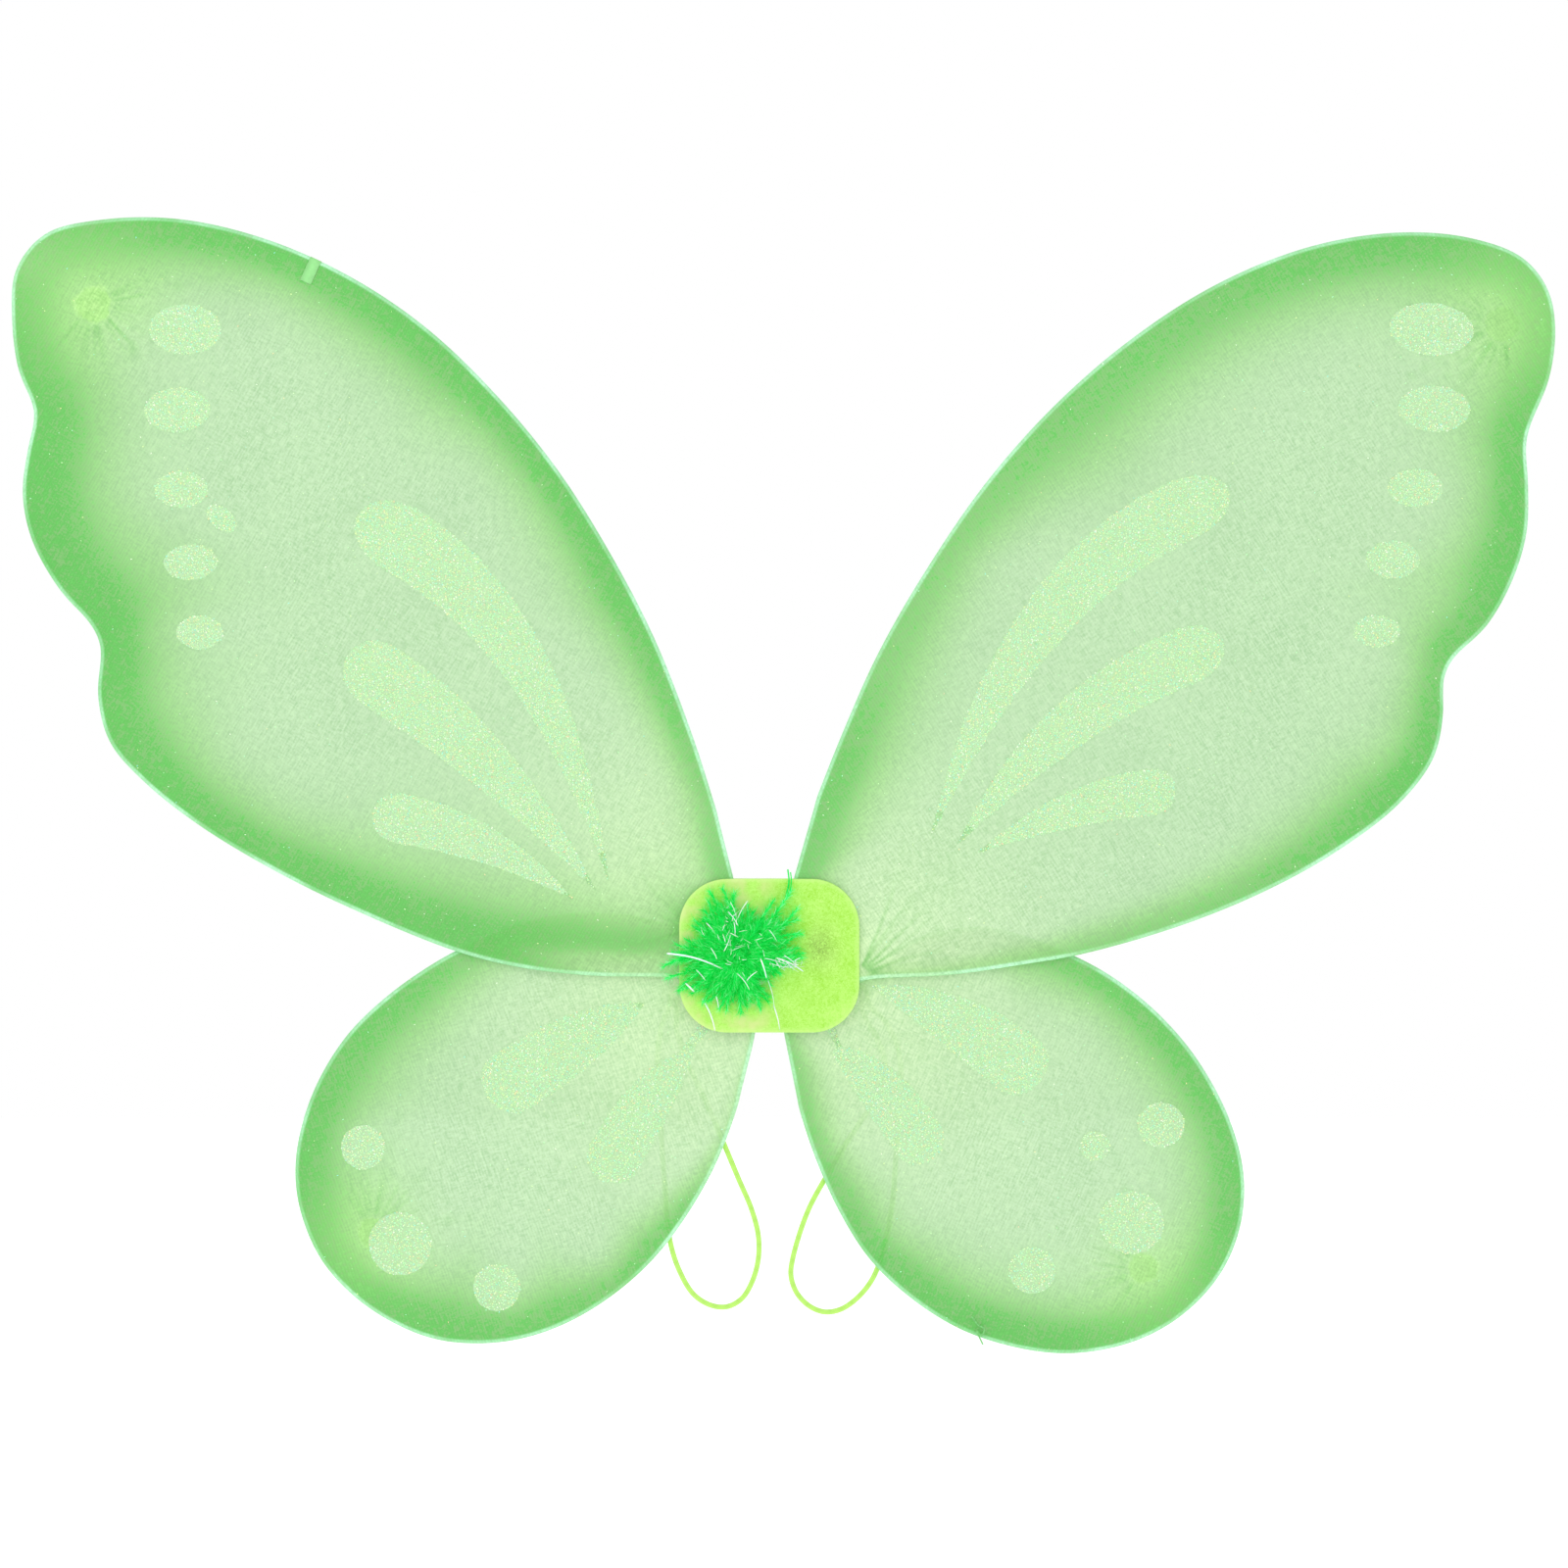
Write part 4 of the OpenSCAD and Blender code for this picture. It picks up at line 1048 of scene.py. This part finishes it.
def addGlitter(name, settings, flake, tree, strayTree):
    outline, middle, nylon = wingShapes[name]
    source = np.random.default_rng(wings[name]["seed"] + 40)
    front = middle - wingSettings["layerGap"] - settings["filmRise"]
    films = []
    for number, loop in enumerate(frontLoops(f"{name}_glitter")):
        for tip in wings[name].get("tips", []):
            loop = pulledOut(loop, np.array(tip) * mm, settings["tipReach"], settings["tipWidth"])
        rim = evenly(loop, settings["rimSpacing"], True)
        rim = softened(rim, 1) + source.uniform(-1, 1, rim.shape) * settings["rimJitter"]

        def thickness(depth):
            return np.full(len(depth), settings["filmHalf"])

        film = twoLayers(f"film_{number}", rim, [], settings["grid"], 0.0, thickness,
                         lambda p, d: {"depth": d}, glueFilm)
        flat = np.array([v.co for v in film.data.vertices])
        places = flat[:, [0, 2]]
        away = distanceTo(places, outline)
        spread = (wingSettings["rimRadius"] - wingSettings["layerGap"]) * (
            1 - smoothstep((away - wingSettings["rimRadius"]) / wingSettings["settle"]))
        flat[:, 1] += front - spread
        film.data.vertices.foreach_set("co", flat.ravel())
        film.data.shade_flat()
        films.append(film)
    whole = joined(f"{name}_glitter_film", films)
    flakes = grow(f"{name}_glitter_flakes", whole, tree,
                  {"Density": settings["flakesPerSquare"], "Thing": flake, "Finish": glitterFlake}, True)
    stray = grow(f"{name}_stray_flakes", nylon, strayTree,
                 {"Density": settings["strayPerSquare"], "Thing": flake, "Finish": glitterFlake}, True)
    for piece in (whole, flakes, stray):
        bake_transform(piece)
    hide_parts(f"{name}_glitter")


def joined(name, parts):
    points, faces, finish = [], [], parts[0].data.materials[0]
    for part in parts:
        base = len(points)
        points += [tuple(v.co) for v in part.data.vertices]
        faces += [tuple(base + i for i in polygon.vertices) for polygon in part.data.polygons]
        bpy.data.objects.remove(part)
    whole = meshObject(name, points, faces, None, finish)
    whole.data.shade_flat()
    return whole


flakeModel = flakeObject("flakeModel", glitterSettings["flakeRadius"])
flakeSizes = {"Density": 1.0, "Thing": flakeModel, "Finish": glitterFlake}
flakeTree = scatterTree("glitterFlakes", flakeSizes, (-0.16, 0.16), 5, -0.3)
strayTree = scatterTree("strayFlakes", flakeSizes, (-0.2, 0.2), 25, -0.3)
for wingName in wings:
    addGlitter(wingName, glitterSettings, flakeModel, flakeTree, strayTree)
print("glitter made")

padSettings = {
    "rimSpacing": 1.0 * mm,
    "rings": [0.1 * mm, 0.35 * mm, 0.8 * mm],
    "grid": 1.3 * mm,
    "edgeRound": 0.7 * mm,
    "unevenness": 0.07 * mm,
    "fibresPerSquare": 1.1e6,
    "fibreLength": 1.1 * mm,
    "fibreWidth": 0.045 * mm,
    "wornFrom": 6.0 * mm,               # felt is clean to the right of this
    "wornOver": 12 * mm,
    "smear": (19 * mm, 3 * mm),         # middle of the rubbed patch, and its half breadth and height
    "smearSize": (6 * mm, 7.5 * mm),
}


# Short bent strip, standing on the origin and pointing up.
def hairObject(name, length, width, bend, segments):
    points, faces, shade = [], [], []
    for k in range(segments + 1):
        share = k / segments
        half = width / 2 * (1 - 0.85 * share)
        y = bend * length * share * share
        z = length * (share - 0.12 * share * share)
        points += [(-half, y, z), (half, y, z)]
        shade += [share, share]
        if k:
            faces.append((2 * k - 2, 2 * k - 1, 2 * k + 1, 2 * k))
    return meshObject(name, points, faces, {"along": shade})


def addPad(node, settings, fibre, tree, marked):
    low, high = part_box(node)
    outline = evenly(frontLoops(node)[0], settings["rimSpacing"], True)
    source = np.random.default_rng(31)
    half = (high.y - low.y) / 2

    def thickness(depth):
        rise = np.clip(1 - depth / settings["edgeRound"], 0, 1)
        body = half * (0.35 + 0.65 * np.sqrt(1 - rise ** 2))
        return body - settings["unevenness"] * source.uniform(0, 1, len(depth)) * (depth > 0)

    def values(places, depth):
        worn = smoothstep((settings["wornFrom"] - places[:, 0]) / settings["wornOver"])
        away = (places - np.array(settings["smear"])) / np.array(settings["smearSize"])
        smear = np.exp(-(away ** 2).sum(axis=1))
        rim = 0.4 * (1 - smoothstep((depth - 0.5 * mm) / (0.8 * mm)))
        return {"worn": worn * marked, "smear": smear * marked, "rim": rim}

    pad = twoLayers(f"{node}_felt", outline, settings["rings"], settings["grid"], (low.y + high.y) / 2,
                    thickness, values, felt)
    fuzz = grow(f"{node}_fuzz", pad, tree, {
        "Density": settings["fibresPerSquare"] / 2, "Thing": fibre, "Finish": felt}, True)
    for piece in (pad, fuzz):
        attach(piece, "centre")
    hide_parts(node)


fibreModel = hairObject("fibreModel", padSettings["fibreLength"], padSettings["fibreWidth"], 0.6, 3)
fuzzTree = scatterTree("feltFuzz", {"Density": 1.0, "Thing": fibreModel, "Finish": felt}, (1.0, 1.5), 55)
addPad("front_pad", padSettings, fibreModel, fuzzTree, True)
addPad("back_pad", padSettings, fibreModel, fuzzTree, False)
print("felt pads made")

tuftSettings = {
    "seed": 7,
    "middle": (-12.0, 0.5),             # [x, z] in mm
    "plumes": 160,
    "barbLength": 8.0 * mm,
    "barbWidth": 0.55 * mm,
    "barbStep": 0.45 * mm,
    "barbsAtStep": 8,
    # how far the plumes reach, in mm, by direction in degrees
    "reach": [(5, 25), (27, 26), (42, 29), (50, 32), (57, 24), (64, 17), (80, 19), (92, 24), (107, 27),
              (126, 24), (146, 22), (162, 22), (175, 25), (188, 28), (212, 27), (230, 23), (264, 22),
              (280, 23), (294, 25), (305, 21), (320, 17), (340, 19), (352, 24)],
}
# tinsel ribbons: [start x, z, end x, z, depth, width, bow], in mm
tinselRibbons = [
    (-38.5, 1.2, -17.4, -4.6, -21.5, 1.0, 1.2), (-14.6, 20.5, -12.2, 14.2, -21, 0.7, 0.3),
    (-8.1, 20.9, -12.0, 14.0, -21.5, 0.6, -0.3), (-23.6, 12.7, -20.0, 8.4, -22.5, 1.0, 0.2),
    (-1.9, -0.6, 9.5, -5.0, -22, 0.7, 0.8), (0.5, -2.6, 13.5, -3.6, -21, 0.7, -0.9),
    (2.5, -0.5, 12.8, -5.6, -20, 0.8, 0.6), (4.5, -4.6, 14.2, -2.0, -19.5, 0.6, 0.5),
    (6.0, -1.5, 11.5, -6.0, -22.5, 0.6, -0.4), (-0.5, -9.0, 2.0, -20.0, -17, 0.8, 0.5),
    (1.6, -18.5, 4.0, -28.0, -12.0, 0.9, 0.3), (-25.2, -16.1, -20.4, -28.3, -12.2, 1.0, 0.7),
    (-31.5, -10.2, -28.2, -13.4, -16, 0.9, 0.1), (-13.2, 2.6, -7.8, 4.4, -24.5, 0.7, 0.3),
    (-12.2, -6.1, -7.4, -12.4, -23.5, 0.8, 0.5), (-3.3, -0.6, -1.0, -8.0, -24, 0.7, 0.2),
    (-20.0, -15.0, -19.0, -19.5, -19, 0.6, 0.2), (-13.2, 13.0, -12.8, 7.5, -24, 0.5, 0.2),
    (5.5, 0.5, 10.5, -3.5, -21.5, 0.7, 0.3), (-17.0, 2.0, -14.5, 8.5, -24, 0.5, -0.3),
    (-15.5, 17.0, -11.6, 11.5, -23, 0.5, 0.3), (-22.0, 3.5, -19.5, -1.0, -23.5, 0.5, 0.2),
    (-8.5, -9.0, -4.5, -5.5, -22.5, 0.5, 0.3), (-5.0, 6.0, -1.5, 1.5, -22.5, 0.5, -0.3),
    (-27.5, -5.0, -24.0, -9.0, -19, 0.5, 0.2), (0.0, 10.0, 3.0, 5.5, -21, 0.5, 0.2),
]


def plumeCurves(settings):
    source = np.random.default_rng(settings["seed"])
    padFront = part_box("front_pad")[0].y
    directions, reaches = np.array(settings["reach"], float).T
    curve = bpy.data.curves.new("plumes", "CURVE")
    curve.dimensions = "3D"
    for k in range(settings["plumes"]):
        heading = (k * 137.5 + source.uniform(-4, 4)) % 360
        level = (k % 4) / 3                # low plumes lie on the felt, high ones stand up
        reach = np.interp(heading, directions, reaches, period=360)
        tip = reach * (1 - 0.6 * level) * source.uniform(0.9, 1.05) - 1.2
        inner = reach * source.uniform(0.0, 0.3) * (1 - 0.5 * level)
        turn = math.radians(heading)
        swirl = source.uniform(-0.35, 0.35)
        peak = 3.2 + 5.5 * level + source.uniform(-0.5, 0.5)
        points = []
        for t in np.linspace(0, 1, 8):
            bearing = turn + swirl * (1 - t)
            far = inner + (tip - inner) * t
            height = 1.6 + peak * math.sin(math.pi * (0.25 + 0.65 * t)) * (1 - 0.45 * t * (1 - level))
            points.append((settings["middle"][0] + far * math.cos(bearing),
                           settings["middle"][1] + far * math.sin(bearing), height))
        spline = curve.splines.new("POLY")
        spline.points.add(len(points) - 1)
        for node, (x, z, height) in zip(spline.points, points):
            node.co = (x * mm, padFront - height * mm, z * mm, 1)
    plumes = bpy.data.objects.new("plumes", curve)
    scene.collection.objects.link(plumes)
    return plumes


# Barbs set round each plume's quill, leaning towards its tip.
def barbTree(sizes):
    tree, given = makeTree("marabouBarbs", sizes)
    quills = addNode(tree, "GeometryNodeResampleCurve", {"mode": "LENGTH"},
                     {"Curve": given["Geometry"], "Length": given["Step"]})
    share = addNode(tree, "GeometryNodeSplineParameter").outputs["Factor"]
    kept = addNode(tree, "GeometryNodeCaptureAttribute", {"domain": "POINT"},
                   {"Geometry": quills.outputs[0]})
    kept.capture_items.new("FLOAT", "share")
    tree.links.new(share, kept.inputs["share"])
    points = addNode(tree, "GeometryNodeCurveToPoints", {"mode": "EVALUATED"}, {"Curve": kept.outputs[0]})
    more = addNode(tree, "GeometryNodeDuplicateElements", {"domain": "POINT"},
                   {"Geometry": points.outputs["Points"], "Amount": given["Barbs"]})
    roll = addNode(tree, "FunctionNodeEulerToRotation", inputs={"Euler": addNode(
        tree, "ShaderNodeCombineXYZ", inputs={"Z": randomNumber(tree, 0, 6.28, 81)}).outputs[0]})
    lean = addNode(tree, "FunctionNodeEulerToRotation", inputs={"Euler": addNode(
        tree, "ShaderNodeCombineXYZ", inputs={"X": randomNumber(tree, -1.1, -0.1, 82)}).outputs[0]})
    turned = addNode(tree, "FunctionNodeRotateRotation", {"rotation_space": "LOCAL"},
                     {"Rotation": points.outputs["Rotation"], "Rotate By": roll.outputs[0]})
    tilted = addNode(tree, "FunctionNodeRotateRotation", {"rotation_space": "LOCAL"},
                     {"Rotation": turned.outputs[0], "Rotate By": lean.outputs[0]})
    size = addNode(tree, "ShaderNodeMath", {"operation": "MULTIPLY"}, {
        0: randomNumber(tree, 0.45, 1.0, 83),
        1: addNode(tree, "ShaderNodeMapRange", inputs={
            "Value": kept.outputs["share"], "To Min": 0.9, "To Max": 0.55}).outputs[0]}).outputs[0]
    barb = addNode(tree, "GeometryNodeObjectInfo", inputs={"Object": given["Barb"]})
    placed = addNode(tree, "GeometryNodeInstanceOnPoints", inputs={
        "Points": more.outputs[0], "Instance": barb.outputs["Geometry"], "Rotation": tilted.outputs[0],
        "Scale": size})
    whole = addNode(tree, "GeometryNodeRealizeInstances", inputs={"Geometry": placed.outputs[0]})
    dressed = addNode(tree, "GeometryNodeSetMaterial",
                      inputs={"Geometry": whole.outputs[0], "Material": given["Finish"]})
    addNode(tree, "NodeGroupOutput", inputs={"Geometry": dressed.outputs[0]})
    return tree


# Painted light and shade: barbs get paler away from the tuft's middle and towards their tips, darkest in the
# deep middle, with clumps of their own.
def shadeTuft(piece, settings):
    corners = np.array([v.co for v in piece.data.vertices])
    along = np.zeros(len(corners), np.float32)
    piece.data.attributes["along"].data.foreach_get("value", along)
    x, z = (corners[:, k] / mm - settings["middle"][k // 2] for k in (0, 2))
    clump = 0.5 + 0.5 * np.sin(1.1 * x + 1.7 * np.sin(0.6 * z)) * np.cos(0.9 * z - 1.3 * np.sin(0.5 * x))
    far = np.hypot(x, z) / 30
    source = np.random.default_rng(settings["seed"] + 1)
    spark = np.repeat(source.uniform(0, 1, len(corners) // 6 + 1), 6)[:len(corners)]
    # painted shade in the tuft's middle and near the quills, painted light outwards and at the barb tips
    shade = np.clip(0.3 * clump + 0.34 * far ** 2 + 0.22 * along + 0.62 * spark ** 3 - 0.04, 0, 1)
    layer = piece.data.attributes.new("shade", "FLOAT", "POINT")
    layer.data.foreach_set("value", shade.astype(np.float32))


# Low mound of matted down that the plumes grow out of.
def addDown(settings):
    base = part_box("tuft_glue")[0].y
    directions, reaches = np.array(settings["reach"], float).T
    source = np.random.default_rng(settings["seed"] + 2)
    rings, around = 16, 72
    top = (settings["middle"][0] * mm, base - 3.0 * mm, settings["middle"][1] * mm)
    points, faces, shade = [top], [], [0.1]
    for r in range(1, rings + 1):
        share = r / rings
        for k in range(around):
            heading = 360 * k / around
            reach = np.interp(heading, directions, reaches, period=360) * 0.55 * share
            height = 3.0 * math.sqrt(max(0, 1 - share * share)) + source.uniform(-0.5, 0.5) * (r < rings)
            points.append(((settings["middle"][0] + reach * math.cos(math.radians(heading))) * mm,
                           base - max(height, 0) * mm + (0 if r < rings else 0.6 * mm),
                           (settings["middle"][1] + reach * math.sin(math.radians(heading))) * mm))
            # painted shade: the mound takes only the deep end of the marabou ramp, the painted shade of the
            # tuft's depth
            shade.append(source.uniform(0.0, 0.35))
    for k in range(around):
        n = (k + 1) % around
        faces.append((0, 1 + k, 1 + n))
        for r in range(rings - 1):
            a, b = 1 + r * around, 1 + (r + 1) * around
            faces.append((a + k, b + k, b + n, a + n))
    faces.append(tuple(1 + (rings - 1) * around + k for k in range(around))[::-1])
    down = meshObject("feather_down", points, faces, {"shade": shade}, marabou)
    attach(down, "centre")


# Short cut ends of tinsel round a few places: [x, z, spread x, spread z, depth, number], in mm.
tinselScraps = [
    (6.5, -3.0, 4.6, 1.8, -21.0, 26),
    (-11.0, 3.0, 8.5, 8.0, -23.5, 26),
    (-13.0, 16.0, 3.5, 3.0, -22.0, 8),
]


def scrapRibbons(scraps, source):
    made = []
    for x, z, spreadX, spreadZ, depth, number in scraps:
        for _ in range(number):
            middle = np.array([x, z]) + source.normal(0, 0.6, 2) * (spreadX, spreadZ)
            turn, reach = source.uniform(0, math.pi), source.uniform(0.6, 1.8)
            step = reach * np.array([math.cos(turn), math.sin(turn)])
            made.append((*(middle - step), *(middle + step), depth + source.uniform(-1, 1),
                         source.uniform(0.25, 0.45), source.uniform(-0.3, 0.3)))
    return made


def addTinsel(ribbons, scraps):
    source = np.random.default_rng(19)
    points, faces, tint = [], [], []
    for x0, z0, x1, z1, depth, width, bow in ribbons + scrapRibbons(scraps, source):
        start, end = np.array([x0, z0]), np.array([x1, z1])
        along = (end - start) / np.linalg.norm(end - start)
        across = np.array([-along[1], along[0]])
        steps = max(6, int(np.linalg.norm(end - start) / 0.8))
        turn0, turns = source.uniform(0, 1), source.uniform(0.2, 0.9)
        shade = source.uniform(0, 1)
        for k in range(steps + 1):
            t = k / steps
            middle = start + (end - start) * t + across * bow * math.sin(math.pi * t)
            y = depth - 0.9 * math.sin(math.pi * t) + 0.3 * math.sin(9 * t + x0)
            twist = turn0 + turns * t
            half = 0.36 * width * (1 if 0 < k < steps else 0.6)
            for side in (-1, 1):
                for thick in (-0.03, 0.03):
                    x, z = middle + across * side * half * math.cos(twist)
                    points.append((x * mm, (y + side * half * math.sin(twist) + thick) * mm, z * mm))
                    tint.append((shade + 0.5 * t) % 1)
            base = len(points) - 4
            if k:
                p = base - 4
                faces += [(p, base, base + 2, p + 2), (p + 1, p + 3, base + 3, base + 1),
                          (p, p + 1, base + 1, base), (p + 2, base + 2, base + 3, p + 3)]
            if k == 0:
                faces.append((base, base + 2, base + 3, base + 1))
            if k == steps:
                faces.append((base, base + 1, base + 3, base + 2))
    tinsel = meshObject("tinsel_ribbons", points, faces, {"tint": tint}, tinselFilm)
    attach(tinsel, "centre")
    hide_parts("tinsel_strands")


barbModel = hairObject("barbModel", tuftSettings["barbLength"], tuftSettings["barbWidth"], 0.3, 2)
barbSizes = {"Step": tuftSettings["barbStep"], "Barbs": tuftSettings["barbsAtStep"], "Barb": barbModel,
             "Finish": marabou}
tuft = grow("marabou_tuft", plumeCurves(tuftSettings), barbTree(barbSizes), barbSizes)
shadeTuft(tuft, tuftSettings)
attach(tuft, "centre")
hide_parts("feather_tuft")
addDown(tuftSettings)
addTinsel(tinselRibbons, tinselScraps)
print("tuft made")

knotSettings = {
    "pleats": 15,
    "around": 90,
    # from the nylon out over the frill to its middle: [share of the radius, height in mm]
    "profile": [(0.0, 0.25), (0.32, 0.25), (0.26, 0.9), (0.42, 1.25), (0.7, 1.9), (1.0, 2.6), (0.97, 3.0),
                (0.6, 2.7), (0.25, 2.3), (0.0, 2.2)],
}


# Bunched end of the stocking: a tied neck and a flared, pleated frill.
def addKnot(name, settings):
    low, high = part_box(f"{name}_knot")
    centre = ((low.x + high.x) / 2, (low.z + high.z) / 2)
    radius = (high.x - low.x) / 2
    source = np.random.default_rng(wings[name]["seed"] + 70)
    phases = source.uniform(0, 6.28, 3)
    profile = np.array(settings["profile"])
    marks = np.linspace(0, len(profile) - 1, 4 * (len(profile) - 1) + 1)
    shares = np.interp(marks, np.arange(len(profile)), profile[:, 0])
    heights = np.interp(marks, np.arange(len(profile)), profile[:, 1])
    scale = (high.y - low.y) / (3.2 * mm)
    points, faces, shade = [], [], []
    n = settings["around"]
    for share, height in zip(shares[1:-1], heights[1:-1]):
        for k in range(n):
            turn = 2 * math.pi * k / n
            wave = math.sin(settings["pleats"] * turn + phases[0] + 0.8 * math.sin(3 * turn + phases[1]))
            ragged = 0.5 * math.sin(5 * turn + phases[2]) + 0.5 * math.sin(9 * turn + phases[1])
            r = radius * share * (0.93 + 0.05 * wave + 0.05 * ragged * share)
            lift = height + 0.28 * wave * share
            points.append((centre[0] + r * math.cos(turn), low.y + max(lift, 0.05) * scale * mm,
                           centre[1] + r * math.sin(turn)))
            # painted light and shade: lighter where the pleat wave rises, darker where it falls
            shade.append(min(1, max(0, 0.5 + 0.4 * wave)))
    rows = len(shares) - 2
    for r in range(rows - 1):
        for k in range(n):
            m = (k + 1) % n
            faces.append((r * n + k, r * n + m, (r + 1) * n + m, (r + 1) * n + k))
    faces.append(tuple(range(n))[::-1])
    faces.append(tuple((rows - 1) * n + k for k in range(n)))
    knot = meshObject(f"{name}_tied_end", points, faces, {"shade": shade}, tiedNylon)
    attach(knot, f"{name}_wing")
    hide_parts(f"{name}_knot")
    turns = np.linspace(0, 2 * math.pi * 5, 160)
    neck = radius * 0.30 + 0.12 * mm
    path = np.column_stack([centre[0] + neck * np.cos(turns), low.y + (0.55 + 0.09 * turns / 6.28) * mm,
                            centre[1] + neck * np.sin(turns)])
    thread = tube(f"{name}_tie_thread", path, 0.13 * mm, 8, sewingThread)
    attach(thread, f"{name}_wing")


tapeSettings = {
    "width": 4.4 * mm,
    "length": 8.6 * mm,                 # on the front, from the rim inwards
    "thickness": 0.12 * mm,
}


# Strip of tape stuck over the rim where the paper wrap ends.
def addTape(settings):
    outline, middle, _ = wingShapes["upper_left"]
    low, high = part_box("upper_left_tape")
    centre = np.array([(low.x + high.x) / 2, (low.z + high.z) / 2])
    nearest = int(np.argmin(np.linalg.norm(outline - centre, axis=1)))
    along = outline[(nearest + 2) % len(outline)] - outline[nearest - 2]
    along /= np.linalg.norm(along)
    inward = np.array([-along[1], along[0]])
    if inward @ (centre - outline[nearest]) < 0:
        inward = -inward
    radius = wingSettings["rimRadius"] + settings["thickness"]
    points, faces, shade = [], [], []
    length = settings["length"]
    path = [(length * (1 - t), -1) for t in np.linspace(0, 1, 14)]
    path += [(None, a) for a in np.linspace(-90, 90, 9)[1:-1]]
    path += [(length * t * 0.6, 1) for t in np.linspace(0, 1, 10)]
    for depth, side in path:
        if depth is None:
            inset, y = radius - radius * math.cos(math.radians(side)), radius * math.sin(math.radians(side))
        else:
            fall = (wingSettings["rimRadius"] - wingSettings["layerGap"]) * smoothstep(
                depth / wingSettings["settle"])
            inset, y = radius + depth, side * (radius - fall + 0.03 * mm)
        spot = outline[nearest] + inward * (inset - settings["thickness"])
        for across in (-0.5, 0.5):
            corner = spot + along * across * settings["width"]
            for lift in (0.0, settings["thickness"]):
                scaled = 1 + lift / radius
                points.append((corner[0], middle + y * scaled, corner[1]))
                shade.append(abs(across))
    for r in range(len(path) - 1):
        a, b = 4 * r, 4 * r + 4
        for i, j in ((0, 2), (2, 3), (3, 1), (1, 0)):
            faces.append((a + i, a + j, b + j, b + i))
    faces += [(0, 1, 3, 2), tuple(4 * (len(path) - 1) + i for i in (0, 2, 3, 1))]
    tape = meshObject("upper_left_tape_strip", points, faces, {"shade": shade}, greenTape)
    fixNormals(tape)
    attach(tape, "upper_left_wing")
    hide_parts("upper_left_tape")


# Ends of down that stick out past the pad, and a cut thread on the lower right wing's rim: [x, y, z] in mm.
looseEnds = {
    "down_end_1": {"body": "centre", "radius": 0.28, "finish": marabou, "slot": "marabou", "route": [
        (6.2, -10.8, 22.0), (7.4, -11.2, 28.0), (7.0, -11.0, 32.4)]},
    "down_end_2": {"body": "centre", "radius": 0.22, "finish": marabou, "slot": "marabou", "route": [
        (7.6, -10.9, 23.0), (8.3, -11.4, 28.5), (8.0, -11.2, 31.4)]},
    "thread_end": {"body": "lower_right_wing", "radius": 0.3, "finish": sewingThread, "slot": "tied_nylon",
                   "route": [
        (76.5, -6.6, -136.5), (78.8, -6.9, -139.5), (81.2, -7.2, -141.0), (80.0, -7.4, -143.6),
        (78.2, -7.1, -141.6), (80.6, -6.9, -146.8)]},
}


def addLooseEnds(ends):
    for name, own in ends.items():
        path = smoothPath(np.array(own["route"]) * mm, 0.5 * mm)
        end = tube(name, path, own["radius"] * mm, 8, own["finish"])
        layer = end.data.attributes.new("shade", "FLOAT", "POINT")
        layer.data.foreach_set("value", np.full(len(end.data.vertices), 0.25, np.float32))
        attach(end, own["body"])


def fixNormals(piece):
    work = bmesh.new()
    work.from_mesh(piece.data)
    bmesh.ops.recalc_face_normals(work, faces=work.faces)
    work.to_mesh(piece.data)
    work.free()


def dressNodes():
    finishes = {"glue_core": hotMelt, "tuft_glue": hotMelt,
                "left_loop_knot": elastic, "right_loop_knot": elastic}
    for name in wings:
        finishes[f"{name}_root"] = paperWrap
        finishes[f"{name}_binding"] = whiteBinding
    for node, material in finishes.items():
        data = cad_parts[node].data
        data.materials.clear()
        data.materials.append(material)


for wingName in wings:
    addKnot(wingName, knotSettings)
addTape(tapeSettings)
addLooseEnds(looseEnds)
dressNodes()
for model in (flakeModel, fibreModel, barbModel):
    bpy.data.objects.remove(model)
print("knots, tape and inner pieces made")
